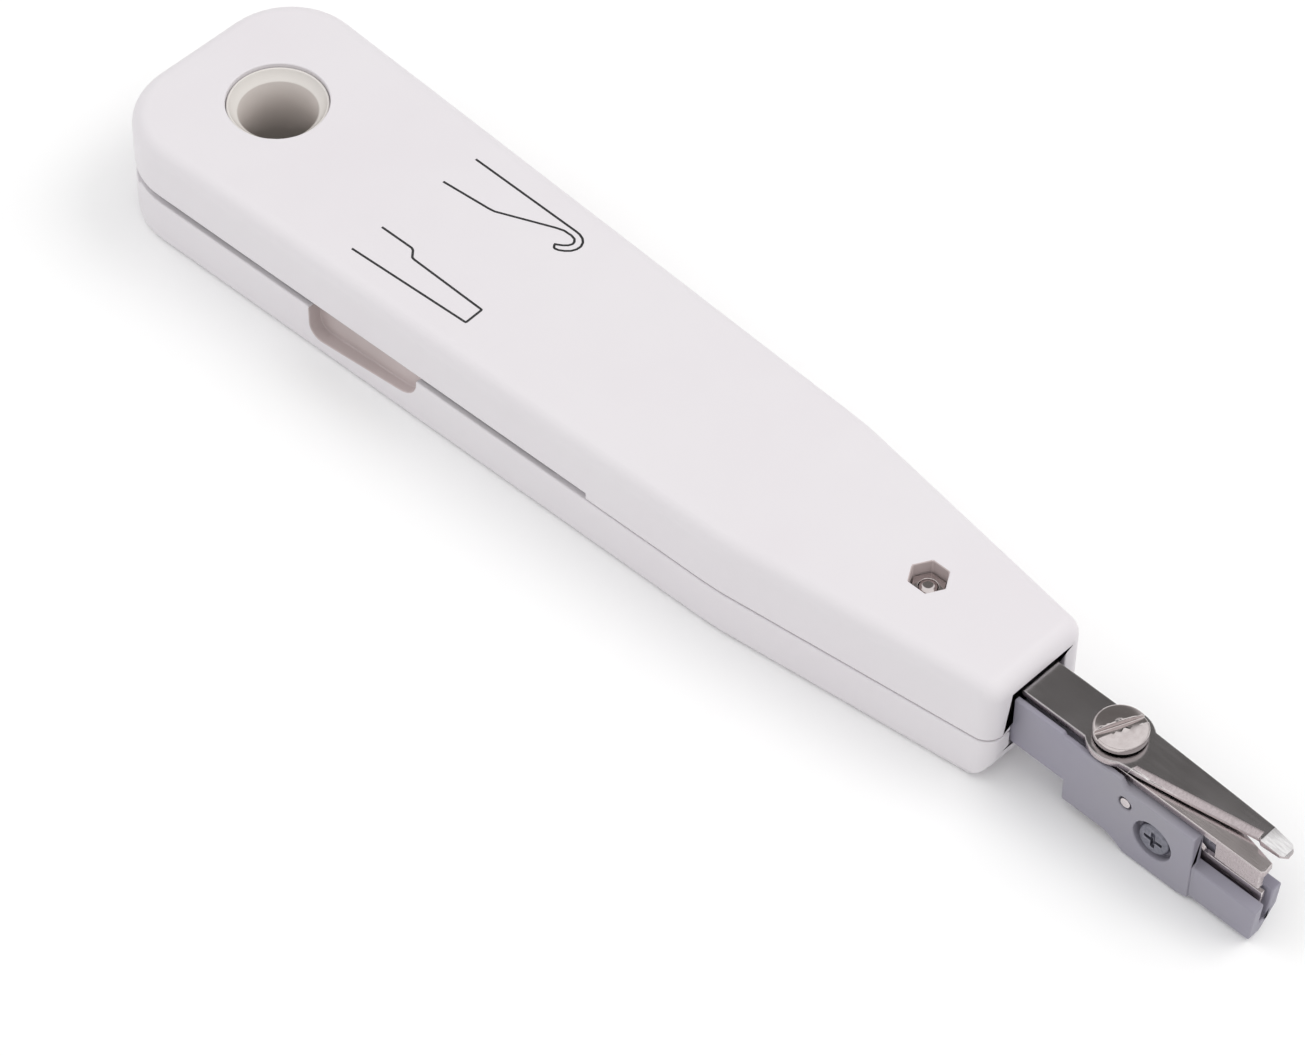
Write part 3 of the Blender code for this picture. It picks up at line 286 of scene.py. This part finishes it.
grain_tree, grain_in, grain_out = new_group(
    "mould_grain",
    [("Colour", COLOUR, (0.8, 0.8, 0.8, 1)), ("Cloud Colour", COLOUR, (0.7, 0.7, 0.7, 1)),
     ("Cloud", FLOAT, 0.3), ("Smooth", FLOAT, 0.3), ("Rough", FLOAT, 0.5)],
    [("Colour", COLOUR), ("Roughness", FLOAT), ("Height", FLOAT)])
place = add(grain_tree, "TexCoord").outputs["Object"]
fine = add(grain_tree, "TexNoise", [("Vector", place)], Scale=GRAIN_PER_M, Detail=3.0)
slow = add(grain_tree, "TexNoise", [("Vector", place)], Scale=CLOUD_PER_M, Detail=4.0)
patch = add(grain_tree, "TexNoise", [("Vector", place)], Scale=PATCH_PER_M, Detail=6.0)
share = remap(grain_tree, slow.outputs["Fac"], 0.35, 0.7, 0.0, grain_in.outputs["Cloud"])
grain_tree.links.new(mix_colours(grain_tree, share, grain_in.outputs["Colour"],
                                 grain_in.outputs["Cloud Colour"]), grain_out.inputs["Colour"])
both = weighted(grain_tree, patch.outputs["Fac"], fine.outputs["Fac"], PATCH_SHARE)
grain_tree.links.new(remap(grain_tree, both, 0.3, 0.7, grain_in.outputs["Smooth"],
                           grain_in.outputs["Rough"]), grain_out.inputs["Roughness"])
grain_tree.links.new(fine.outputs["Fac"], grain_out.inputs["Height"])

# %% [markdown]
# ## Ground lines
# The steel parts are ground along their length, which leaves long thin lines. Stretched noise
# gives them: its coordinates run slowly along the lines and fast across them. A finger's smear,
# which isn't stretched, breaks up the shine.

# %% Ground lines
SMEAR_PER_M, LINE_SHARE = 160.0, 0.6

line_tree, line_in, line_out = new_group(
    "ground_lines",
    [("Colour", COLOUR, (0.5, 0.5, 0.5, 1)), ("Line Colour", COLOUR, (0.4, 0.4, 0.4, 1)),
     ("Smooth", FLOAT, 0.2), ("Rough", FLOAT, 0.4), ("Stretch", VECTOR, (120.0, 5200.0, 5200.0))],
    [("Colour", COLOUR), ("Roughness", FLOAT), ("Height", FLOAT)])
place = add(line_tree, "TexCoord").outputs["Object"]
stretched = add(line_tree, "VectorMath", [(0, place), (1, line_in.outputs["Stretch"])],
                operation="MULTIPLY")
lines = add(line_tree, "TexNoise", [("Vector", stretched.outputs[0])], Scale=1.0, Detail=5.0)
smear = add(line_tree, "TexNoise", [("Vector", place)], Scale=SMEAR_PER_M, Detail=3.0)
line_tree.links.new(mix_colours(line_tree, remap(line_tree, lines.outputs["Fac"], 0.4, 0.75, 0, 1),
                                line_in.outputs["Colour"], line_in.outputs["Line Colour"]),
                    line_out.inputs["Colour"])
worn = weighted(line_tree, lines.outputs["Fac"], smear.outputs["Fac"], LINE_SHARE)
line_tree.links.new(remap(line_tree, worn, 0.35, 0.65, line_in.outputs["Smooth"],
                          line_in.outputs["Rough"]), line_out.inputs["Roughness"])
line_tree.links.new(lines.outputs["Fac"], line_out.inputs["Height"])
print("groups:", sorted(g.name for g in bpy.data.node_groups))

# %% [markdown]
# ## Materials
# Each material is a Principled surface whose colour, roughness and bump come from the groups.
# The numbers that are the same all over are set on the shader itself.


# %% A surface builder
looks = {}


def rgb(red, green, blue):
    """An opaque colour."""
    return (red, green, blue, 1.0)


def surface(name, pattern, settings, bump, edge=None, **constants):
    """A Principled material in looks, fed by one pattern group. bump is (strength, height in
    metres), and edge is (colour, amount) for the edges: a painted highlight, partly wear."""
    made = bpy.data.materials.new(name)
    made.use_nodes = True
    tree = made.node_tree
    shader = tree.nodes["Principled BSDF"]
    for key, value in constants.items():
        shader.inputs[key.replace("_", " ")].default_value = value
    source = tree.nodes.new("ShaderNodeGroup")
    source.node_tree = pattern
    for key, value in settings.items():
        source.inputs[key].default_value = value
    colour = source.outputs["Colour"]
    # The edge colour is painted over the edges: mostly a painted highlight, partly wear.
    if edge:
        mask = tree.nodes.new("ShaderNodeGroup")
        mask.node_tree = edge_tree
        mask.inputs["Amount"].default_value = edge[1]
        colour = mix_colours(tree, mask.outputs["Mask"], colour, rgb(*edge[0]))
    tree.links.new(colour, shader.inputs["Base Color"])
    tree.links.new(source.outputs["Roughness"], shader.inputs["Roughness"])
    relief = add(tree, "Bump", [("Height", source.outputs["Height"])], Strength=bump[0],
                 Distance=bump[1])
    tree.links.new(relief.outputs[0], shader.inputs["Normal"])
    looks[name] = made


# %% [markdown]
# ## Plastics
# The handle is white ABS, slightly warm, with a fine satin grain. The eyelet is a smoother and
# yellower plastic with a thin shine, and the head is grey plastic. The thumb notches are rubbed
# beige and also painted darker as shade of their hollows, and the hexagonal recess over the
# housing screw gets the same colour as painted shade: a second material on some handle faces.

# %% Plastics
surface(
    "white_abs", grain_tree,
    {"Colour": rgb(0.765, 0.738, 0.760), "Cloud Colour": rgb(0.750, 0.712, 0.742), "Cloud": 0.6,
     "Smooth": 0.34, "Rough": 0.52},
    (0.12, 0.00004), edge=((0.86, 0.85, 0.86), 0.35), Specular_IOR_Level=0.45)
surface(
    "ivory_plastic", grain_tree,
    {"Colour": rgb(0.76, 0.73, 0.70), "Cloud Colour": rgb(0.70, 0.66, 0.62), "Cloud": 0.6,
     "Smooth": 0.14, "Rough": 0.28},
    (0.05, 0.00003), Coat_Weight=0.3, Coat_Roughness=0.12)
surface(
    "grey_plastic", grain_tree,
    {"Colour": rgb(0.295, 0.280, 0.350), "Cloud Colour": rgb(0.315, 0.305, 0.34), "Cloud": 0.8,
     "Smooth": 0.36, "Rough": 0.50},
    (0.15, 0.00005), edge=((0.46, 0.45, 0.48), 0.6), Specular_IOR_Level=0.5)
# Painted shade for the hollows of the notches and the hexagonal recess, with some rub wear in the
# notches.
surface(
    "recess_wear_and_shade", grain_tree,
    {"Colour": rgb(0.60, 0.52, 0.515), "Cloud Colour": rgb(0.50, 0.43, 0.42), "Cloud": 0.8,
     "Smooth": 0.40, "Rough": 0.60},
    (0.15, 0.00005), Specular_IOR_Level=0.45)

# %% [markdown]
# The eyelet's bore is painted a darker grey-beige than its funnel. The distance from the hole's
# axis tells the two apart: only the bore's wall is that close to it.

# %% Darker bore
BORE_R = 5.0 * MM
BORE_TONE_STARTS, BORE_TONE_ENDS = BORE_R + 0.03 * MM, BORE_R + 0.12 * MM
BORE_BEIGE = rgb(0.62, 0.57, 0.54)

ivory = looks["ivory_plastic"].node_tree
from_axis = add(ivory, "VectorMath", [(0, add(ivory, "TexCoord").outputs["Object"])],
                operation="SUBTRACT")
from_axis.inputs[1].default_value = (HOLE.x, HOLE.y, 0.0)
flat = add(ivory, "VectorMath", [(0, from_axis.outputs[0])], operation="MULTIPLY")
flat.inputs[1].default_value = (1.0, 1.0, 0.0)
radius = add(ivory, "VectorMath", [(0, flat.outputs[0])], operation="LENGTH").outputs["Value"]
in_bore = remap(ivory, radius, BORE_TONE_STARTS, BORE_TONE_ENDS, 1.0, 0.0)
shader = ivory.nodes["Principled BSDF"]
funnel_colour = shader.inputs["Base Color"].links[0].from_socket
ivory.links.new(mix_colours(ivory, in_bore, funnel_colour, BORE_BEIGE), shader.inputs["Base Color"])

# %% [markdown]
# ## Metals
# The blades are polished steel sheet with fine grinding lines. Their ground edges and tip are
# brighter than their flats, partly for the ground finish and partly as a painted highlight, while
# the edges of the fold-out tools are sheared and dark. The pivot and housing screws are nickel
# plated, and the little clamping screw is dull zinc, its tint also darkened as painted shade of
# its deep recess. Metal has no colour of its own apart from its reflections, so each is a tint,
# a pair of roughnesses and the way its lines run.

# %% Metals
surface(
    "dark_steel", line_tree,
    {"Colour": rgb(0.44, 0.42, 0.425), "Line Colour": rgb(0.39, 0.37, 0.375),
     "Smooth": 0.13, "Rough": 0.24, "Stretch": (180.0, 8000.0, 8000.0)},
    (0.04, 0.00002), edge=((0.92, 0.89, 0.88), 1.0), Metallic=1.0)
# Ground faces and the tip are painted brighter than the flats: partly the ground finish, partly a
# painted highlight.
surface(
    "ground_and_highlit_edge", line_tree,
    {"Colour": rgb(0.52, 0.46, 0.47), "Line Colour": rgb(0.42, 0.365, 0.375),
     "Smooth": 0.20, "Rough": 0.38, "Stretch": (5000.0, 700.0, 5000.0)},
    (0.05, 0.00002), edge=((0.95, 0.92, 0.91), 1.0), Metallic=1.0)
surface(
    "tip_ground_and_highlight", line_tree,
    {"Colour": rgb(0.90, 0.89, 0.89), "Line Colour": rgb(0.72, 0.70, 0.71),
     "Smooth": 0.22, "Rough": 0.40, "Stretch": (700.0, 5000.0, 5000.0)},
    (0.05, 0.00002), edge=((0.62, 0.58, 0.59), 0.8), Metallic=1.0)
surface(
    "steel", line_tree,
    {"Colour": rgb(0.74, 0.68, 0.68), "Line Colour": rgb(0.66, 0.60, 0.60),
     "Smooth": 0.16, "Rough": 0.30, "Stretch": (180.0, 8000.0, 8000.0)},
    (0.06, 0.00002), edge=((0.95, 0.92, 0.91), 0.9), Metallic=1.0)
surface(
    "sheared_steel", line_tree,
    {"Colour": rgb(0.13, 0.12, 0.12), "Line Colour": rgb(0.09, 0.08, 0.08),
     "Smooth": 0.30, "Rough": 0.55, "Stretch": (3000.0, 3000.0, 600.0)},
    (0.12, 0.00002), edge=((0.30, 0.28, 0.28), 0.6), Metallic=1.0)
surface(
    "nickel", line_tree,
    {"Colour": rgb(0.64, 0.585, 0.58), "Line Colour": rgb(0.56, 0.505, 0.50),
     "Smooth": 0.09, "Rough": 0.18, "Stretch": (900.0, 900.0, 5200.0)},
    (0.03, 0.00002), edge=((0.94, 0.90, 0.88), 0.6), Metallic=1.0)
# The zinc's dark tint is partly painted shade of the clamping screw's deep recess.
surface(
    "zinc", line_tree,
    {"Colour": rgb(0.25, 0.25, 0.29), "Line Colour": rgb(0.18, 0.18, 0.21),
     "Smooth": 0.25, "Rough": 0.45, "Stretch": (2500.0, 2500.0, 2500.0)},
    (0.15, 0.00003), edge=((0.50, 0.50, 0.54), 0.7), Metallic=1.0)
surface(
    "brass", line_tree,
    {"Colour": rgb(0.72, 0.54, 0.26), "Line Colour": rgb(0.58, 0.42, 0.20),
     "Smooth": 0.18, "Rough": 0.34, "Stretch": (900.0, 900.0, 5200.0)},
    (0.10, 0.00002), Metallic=1.0)
print("materials:", sorted(looks))

# %% [markdown]
# ## Looks for the CAD pieces
# Each CAD piece names a material slot, and the looks carry the same names. The pieces that
# hardly show keep their CAD mesh, so this is all the finish that they need.

# %% Looks for the CAD pieces
for node, obj in frame["nodes"].items():
    obj.data.materials.clear()
    obj.data.materials.append(looks[slots[node]])
print("slots in use:", sorted(set(slots.values())))

# %% [markdown]
# ## Rounded edges
# A moulded or stamped edge is never knife sharp: its small round catches the light, and that
# bright line is most of what tells the eye how big the thing is. The CAD shapes are right, so
# each visible piece is a merged copy of its node with a live Bevel on its sharp edges.


# %% Copy and round
FLAT_WITHIN, SHARP_OVER = math.radians(0.5), math.radians(30)
MERGE_WITHIN, ROUND_SEGMENTS = 1e-7, 3


def rounded(node, width_mm, look=None, others=()):
    """A copy of a CAD node: doubles merged, flats dissolved, edges over 30 degrees bevelled.
    others are (look, test) pairs: a face takes the last look whose test(centre, normal) holds."""
    source = frame["nodes"][node]
    mesh = source.data.copy()
    mesh.name = node + "_round"
    work = bmesh.new()
    work.from_mesh(mesh)
    bmesh.ops.remove_doubles(work, verts=work.verts, dist=MERGE_WITHIN)
    bmesh.ops.dissolve_limit(work, angle_limit=FLAT_WITHIN, verts=work.verts, edges=work.edges)
    for face in work.faces:
        face.smooth = True
        for number, (_, test) in enumerate(others, 1):
            if test(face.calc_center_median(), face.normal):
                face.material_index = number
    mesh.materials.clear()
    for name in [look or slots[node]] + [other for other, _ in others]:
        mesh.materials.append(looks[name])
    work.to_mesh(mesh)
    work.free()
    piece = bpy.data.objects.new(node + "_round", mesh)
    scene.collection.objects.link(piece)
    bevel = piece.modifiers.new("edge_round", "BEVEL")
    bevel.width, bevel.segments = width_mm * MM, ROUND_SEGMENTS
    bevel.limit_method, bevel.angle_limit = "ANGLE", SHARP_OVER
    bevel.use_clamp_overlap = False
    piece.modifiers.new("flat_faces", "WEIGHTED_NORMAL").keep_sharp = True
    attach(piece, bodies[node])
    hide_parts(node)
    return piece


# %% [markdown]
# ## Which faces are different
# Some pieces have more than one colour: a notch or recess in painted shade and rub wear, and
# ground faces and a tip that are partly a ground finish and partly a painted highlight. Faces
# could be numbered by hand, but their numbers change with the CAD. A test of where a face is and
# which way it looks keeps working. The notches lie a little inside the side wall, which stands
# SIDE_AT_HOLE from the middle at the hanging hole and comes in by SIDE_SLOPE further forward.

# %% Which faces are different
SIDE_AT_HOLE, SIDE_SLOPE = 16.26 * MM, 0.0362
NOTCH_FROM, NOTCH_TO, NOTCH_HALF_HIGH = 21.3 * MM, 39.4 * MM, 5.3 * MM
NOTCH_SKIN, NOTCH_IN = 0.25 * MM, 2.1 * MM
RECESS_R, RECESS_BELOW_TIP, FACE_SKIN = 2.7 * MM, 2 * MM, 0.3 * MM
LEVEL, NEARLY_LEVEL = 0.999, 0.995  # height of a face's normal
SEAM_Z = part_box("upper_shell")[0].z


def in_notch(centre, normal):
    """Faces of a thumb notch: between its ends, inside the side wall, near the seam."""
    station = centre.x - HOLE.x
    depth = SIDE_AT_HOLE - SIDE_SLOPE * station - abs(centre.y)
    return (NOTCH_FROM < station < NOTCH_TO and NOTCH_SKIN < depth < NOTCH_IN
            and abs(centre.z - SEAM_Z) < NOTCH_HALF_HIGH and abs(normal.z) < LEVEL)


def in_recess(centre, normal):
    """Faces of the upper shell in a thumb notch, or in the hexagon over the housing screw."""
    to_screw = math.hypot(centre.x - SCREW.x, centre.y - SCREW.y)
    return in_notch(centre, normal) or (
        to_screw < RECESS_R and SCREW_TIP - RECESS_BELOW_TIP < centre.z < FACE_Z - FACE_SKIN)


def off_the_flat(centre, normal):
    """Ground bevels and sheared walls of a sheet: everything that isn't its top or bottom."""
    return abs(normal.z) < NEARLY_LEVEL


def on_tip(centre, normal):
    """The shallow bevel that ends the upper blade: it tilts a few degrees forward."""
    return 0.05 < normal.x < 0.3 and normal.z > 0.9


# %% [markdown]
# ## Rounded pieces
# Each width is the round that the real process leaves, in millimetres: about a quarter on
# moulded plastic, half of that on stamped steel and screw heads, and less on the thin tools.

# %% Rounded pieces
# The notches and the hexagonal recess get a darker beige: painted shade, with rub wear in the
# notches.
rounded("upper_shell", 0.22, others=[("recess_wear_and_shade", in_recess)])
rounded("lower_shell", 0.22, others=[("recess_wear_and_shade", in_notch)])
# The blades' ground faces and tip are partly ground finish and partly a painted highlight.
rounded("upper_blade", 0.13, others=[("ground_and_highlit_edge", off_the_flat), ("tip_ground_and_highlight", on_tip)])
rounded("lower_blade", 0.11, others=[("ground_and_highlit_edge", off_the_flat)])
for node in ("hook_tool", "release_blade"):
    rounded(node, 0.06, look="dark_steel", others=[("sheared_steel", off_the_flat)])
rounded("clamp_screw", 0.08, look="zinc")
EDGES_MM = {"head_block": 0.22, "pivot_screw": 0.12, "housing_nut": 0.08, "cross_pin": 0.10,
            "insertion_blade": 0.06}
for node, width in EDGES_MM.items():
    rounded(node, width)

# %% [markdown]
# ## Surfaces on a grid
# The remaining pieces are new surfaces. Each is a function of two parameters, worked out for all
# its points at once as a numpy grid, and neighbours on the grid become the corners of a quad.
# Joining the far edges closes a ring or a tube. A lathe shape is a profile of radius and height
# carried round an axis.


# %% Grid and lathe
def grid_mesh(name, grid, closed_u=False, closed_v=False):
    """A quad mesh over a (u, v, 3) grid of points; closed_u and closed_v join its far edges.
    Rings that shrink to a point are merged there, and all faces are turned outward."""
    rows, cols = grid.shape[:2]
    u = np.arange(rows if closed_u else rows - 1)[:, None]
    v = np.arange(cols if closed_v else cols - 1)[None, :]
    next_u, next_v = (u + 1) % rows, (v + 1) % cols
    quads = np.stack([u * cols + v, next_u * cols + v, next_u * cols + next_v, u * cols + next_v],
                     axis=-1).reshape(-1, 4)
    mesh = bpy.data.meshes.new(name)
    mesh.from_pydata(grid.reshape(-1, 3).tolist(), [], quads.tolist())
    work = bmesh.new()
    work.from_mesh(mesh)
    bmesh.ops.remove_doubles(work, verts=work.verts, dist=1e-8)
    bmesh.ops.recalc_face_normals(work, faces=work.faces)
    work.to_mesh(mesh)
    work.free()
    mesh.polygons.foreach_set("use_smooth", np.ones(len(mesh.polygons), bool))
    mesh.update()
    return mesh


def place_piece(name, mesh, node, look):
    """Put a new piece on its node's body and let it stand for that node."""
    mesh.materials.append(look)
    piece = bpy.data.objects.new(name, mesh)
    scene.collection.objects.link(piece)
    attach(piece, bodies[node])
    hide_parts(node)
    print(name, len(mesh.polygons), "faces")
    return piece


def corner_arc(centre, radius, start, end, steps=6):
    """Points on a small arc of a profile, angles in degrees."""
    turn = np.radians(np.linspace(start, end, steps))
    return np.stack([centre[0] + radius * np.cos(turn), centre[1] + radius * np.sin(turn)], axis=1)


def lathe(name, profile, centre, turns=96):
    """A closed profile of (radius, z) carried round a Z axis: x = r cos t, y = r sin t."""
    turn = np.linspace(0, 2 * np.pi, turns, endpoint=False)[:, None]
    radius, height = profile[None, :, 0], profile[None, :, 1]
    grid = np.stack([centre.x + radius * np.cos(turn), centre.y + radius * np.sin(turn),
                     np.broadcast_to(height, (turns, profile.shape[0]))], axis=-1)
    return grid_mesh(name, grid, closed_u=True, closed_v=True)


# %% [markdown]
# ## Eyelet
# The hanging hole is lined with a smooth eyelet: a flat rim half a millimetre below the shell's
# face, then a shallow cone into the bore. A collar closes it on the back. Both are round, so
# they are turned from their profiles, and the rims cover most of the gap round the CAD pieces.


# %% Sleeve and collar
def box_radius(node):
    """Half of a CAD node's length along X."""
    low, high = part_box(node)
    return (high.x - low.x) / 2


SLEEVE_LOW, SLEEVE_HIGH = (corner.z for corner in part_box("eyelet_sleeve"))
COLLAR_LOW, COLLAR_HIGH = (corner.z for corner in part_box("eyelet_collar"))
RIM_COVERS = 0.2 * MM
RIM_R = box_radius("eyelet_sleeve") + RIM_COVERS
SLEEVE_R, RIM_T, SOFT, RIM_SOFT = 5.8 * MM, 1.4 * MM, 0.25 * MM, 0.17 * MM
FUNNEL_DEEP, FUNNEL_LOW_R, FUNNEL_TOP_R = 1.3 * MM, 5.2 * MM, 6.0 * MM
FUNNEL_FOOT = 0.12 * MM

sleeve_profile = np.concatenate([
    [(BORE_R, SLEEVE_LOW), (BORE_R, SLEEVE_HIGH - FUNNEL_DEEP)],
    [(FUNNEL_LOW_R, SLEEVE_HIGH - FUNNEL_DEEP + FUNNEL_FOOT), (FUNNEL_TOP_R, SLEEVE_HIGH - SOFT)],
    corner_arc((RIM_R - RIM_SOFT, SLEEVE_HIGH - RIM_SOFT), RIM_SOFT, 150, 0, steps=8),
    [(RIM_R, SLEEVE_HIGH - RIM_T), (SLEEVE_R, SLEEVE_HIGH - RIM_T), (SLEEVE_R, SLEEVE_LOW)],
])
place_piece("eyelet_sleeve_turned", lathe("eyelet_sleeve_turned", sleeve_profile, HOLE),
            "eyelet_sleeve", looks["ivory_plastic"])
collar_profile = np.concatenate([
    [(BORE_R, COLLAR_HIGH)], corner_arc((BORE_R + SOFT, COLLAR_LOW + SOFT), SOFT, 180, 270),
    corner_arc((RIM_R - SOFT, COLLAR_LOW + SOFT), SOFT, 270, 360), [(RIM_R, COLLAR_HIGH)],
])
place_piece("eyelet_collar_turned", lathe("eyelet_collar_turned", collar_profile, HOLE),
            "eyelet_collar", looks["ivory_plastic"])

# %% [markdown]
# ## Main spring
# The spring behind the head shortens when the head is pushed in, which a rigid solid can't do.
# So its wire is a new surface, a small circle carried along a helix.

# %% Spring wire
SPRING_LOW, SPRING_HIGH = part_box("main_spring")
WIRE_R, TURNS, SPRING_STEPS, WIRE_SIDES = 0.4 * MM, 8, 40, 12


def spring_wire(low, high):
    """Centre line: x rises evenly from low to high, y = R cos t, z = R sin t. Each ring is
    centre + wire radius * (outward cos b + across sin b); the end rings shrink to points."""
    mean_r = (high.z - low.z) / 2 - WIRE_R
    share = np.linspace(0, 1, TURNS * SPRING_STEPS + 1)
    turn = 2 * np.pi * TURNS * share
    span = high.x - low.x - 2 * WIRE_R
    zero = np.zeros_like(turn)
    outward = np.stack([zero, np.cos(turn), np.sin(turn)], axis=1)
    centre = outward * mean_r + np.stack(
        [low.x + WIRE_R + span * share, zero + (low.y + high.y) / 2, zero + (low.z + high.z) / 2],
        axis=1)
    along = np.stack([zero + span / (2 * np.pi * TURNS), -mean_r * np.sin(turn),
                      mean_r * np.cos(turn)], axis=1)
    along /= np.linalg.norm(along, axis=1)[:, None]
    across = np.cross(along, outward)
    size = np.full(len(turn), WIRE_R)
    size[[0, -1]] = 0.0
    around = np.linspace(0, 2 * np.pi, WIRE_SIDES, endpoint=False)[None, :, None]
    ring = outward[:, None, :] * np.cos(around) + across[:, None, :] * np.sin(around)
    return centre[:, None, :] + ring * size[:, None, None]


spring = place_piece("main_spring_wire", grid_mesh(
    "main_spring_wire", spring_wire(SPRING_LOW, SPRING_HIGH), closed_v=True),
    "main_spring", looks["steel"])
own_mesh(spring)

# %% [markdown]
# ## Screw thread
# The tip of the housing screw comes up through its nut in the hexagonal recess, and its thread
# shows. The CAD screw is plain there, so the thread is a sleeve round it: a circle whose radius
# rises and falls along a helix.

# %% Thread
PITCH, CREST_R, ROOT_R = 0.4 * MM, 1.12 * MM, 1.01 * MM
THREAD_LONG, CHAMFER = 1.9 * MM, 0.25 * MM
TIP_SHARE = 0.65  # radius at the end of the chamfer, as a share of the crest's


def threaded_tip(top, length):
    """Radius = root + (crest - root) * tooth, where tooth is a triangle wave of z / pitch minus
    turn / 2 pi. The tip is chamfered, and at both ends rings of falling radius close the sleeve."""
    turn = np.linspace(0, 2 * np.pi, 64, endpoint=False)[:, None]
    height = np.linspace(top - length, top, 60)[None, :]
    phase = (height / PITCH - turn / (2 * np.pi)) % 1.0
    tooth = 1 - np.abs(2 * phase - 1)
    room = np.clip((top - height) / CHAMFER, 0, 1) * (1 - TIP_SHARE) + TIP_SHARE
    radius = np.minimum(ROOT_R + (CREST_R - ROOT_R) * tooth, CREST_R * room)
    flat_end = np.array([0.6, 0.3, 0.0])[None, :] * np.ones_like(turn) * CREST_R * TIP_SHARE
    radius = np.concatenate([flat_end[:, 2:], radius, flat_end], axis=1)
    height = np.concatenate([height[:, :1], height, np.full((1, 3), top)], axis=1)
    height = height + np.zeros_like(turn)
    return np.stack([SCREW.x + radius * np.cos(turn), SCREW.y + radius * np.sin(turn), height],
                    axis=-1)


thread_mesh = grid_mesh("screw_thread", threaded_tip(SCREW_TIP + 0.02 * MM, THREAD_LONG),
                        closed_u=True)
thread_mesh.materials.append(looks["nickel"])
thread = bpy.data.objects.new("screw_thread", thread_mesh)
scene.collection.objects.link(thread)
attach(thread, bodies["housing_screw"])
print("thread", len(thread_mesh.polygons), "faces")

# %% [markdown]
# ## Printed pictograms
# Two thin black outlines on the front face show which tool folds out of which side: a hook and
# a straight blade. The ink is a raised film a few hundredths of a millimetre thick, so each
# outline is a flat strip carried along its path, not a texture.


# %% Strips of ink
INK_WIDTH, INK_FILM = 0.31 * MM, 0.012 * MM

surface(
    "ink", grain_tree,
    {"Colour": rgb(0.012, 0.012, 0.013), "Cloud Colour": rgb(0.03, 0.03, 0.032), "Cloud": 1.0,
     "Smooth": 0.35, "Rough": 0.6}, (0.1, 0.00002))


def ink_strip(name, points_mm):
    """A strip along a path on the front face: each ring is the film's rectangular section, set
    across the path's direction, and a ring of no width at each end closes the strip."""
    path = np.array(points_mm) * MM + [HOLE.x, 0.0]
    way = np.gradient(path, axis=0)
    way /= np.linalg.norm(way, axis=1)[:, None]
    across = np.stack([-way[:, 1], way[:, 0]], axis=1)
    path, across = (np.concatenate([a[:1], a, a[-1:]]) for a in (path, across))
    half = np.full(len(path), INK_WIDTH / 2)
    half[[0, -1]] = 0.0
    left, right = path + across * half[:, None], path - across * half[:, None]
    low, high = FACE_Z - INK_FILM, FACE_Z + INK_FILM
    rings = [np.column_stack([side, np.full(len(path), z)])
             for side, z in ((left, high), (left, low), (right, low), (right, high))]
    grid = np.stack(rings, axis=1)
    mesh = grid_mesh(name, grid, closed_v=True)
    mesh.materials.append(looks["ink"])
    strip = bpy.data.objects.new(name, mesh)
    scene.collection.objects.link(strip)
    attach(strip, "handle")
    print(name, len(path), "stations")
    return strip


def dense(corners, spacing=0.15):
    """Points every spacing millimetres along straight runs between the corners."""
    corners = np.array(corners, float)
    runs = np.linalg.norm(np.diff(corners, axis=0), axis=1)
    travelled = np.concatenate([[0], np.cumsum(runs)])
    at = np.linspace(0, travelled[-1], int(travelled[-1] / spacing) + 2)
    return np.stack([np.interp(at, travelled, corners[:, k]) for k in (0, 1)], axis=1)


hook_outline = [(24.5, 10.12), (41.7, 10.12), (42.4, 10.07), (43.1, 9.82), (43.6, 9.4),
                (43.9, 8.75), (43.85, 8.05), (43.55, 7.4), (43.0, 6.85), (42.4, 6.45),
                (41.9, 6.3), (41.65, 6.4), (41.35, 6.85), (41.6, 6.95), (42.2, 7.35),
                (42.7, 7.85), (42.9, 8.35), (42.8, 8.75), (42.45, 9.1), (41.8, 9.25),
                (40.6, 9.2), (39.6, 8.85), (32.4, 5.55), (31.6, 5.4), (24.4, 4.68)]
blade_outline = [(24.6, -5.83), (29.6, -5.7), (30.0, -5.85), (30.8, -6.75), (31.2, -6.83),
                 (42.8, -6.87), (42.9, -9.63), (24.6, -10.83)]
ink_strip("hook_pictogram", dense(hook_outline))
ink_strip("blade_pictogram", dense(blade_outline))

# %% [markdown]
# ## Floor
# A plain pale floor catches a faint shadow. It isn't part of the tool. It lies a tenth of a
# millimetre low, because two faces at one height would flicker.

# %% Floor
FLOOR_HALF, FLOOR_Z = 2.5, -0.1 * MM
floor_grid = np.zeros((2, 2, 3))
floor_grid[..., 0] = np.array([[-1, -1], [1, 1]]) * FLOOR_HALF
floor_grid[..., 1] = np.array([[-1, 1], [-1, 1]]) * FLOOR_HALF
floor_grid[..., 2] = FLOOR_Z
floor_mesh = grid_mesh("floor", floor_grid)
floor_look = bpy.data.materials.new("floor")
floor_look.use_nodes = True
floor_shader = floor_look.node_tree.nodes["Principled BSDF"]
floor_shader.inputs["Base Color"].default_value = rgb(0.96, 0.96, 0.96)
floor_shader.inputs["Roughness"].default_value = 0.9
floor_shader.inputs["Specular IOR Level"].default_value = 0.1
floor_mesh.materials.append(floor_look)
floor = bpy.data.objects.new("floor", floor_mesh)
scene.collection.objects.link(floor)
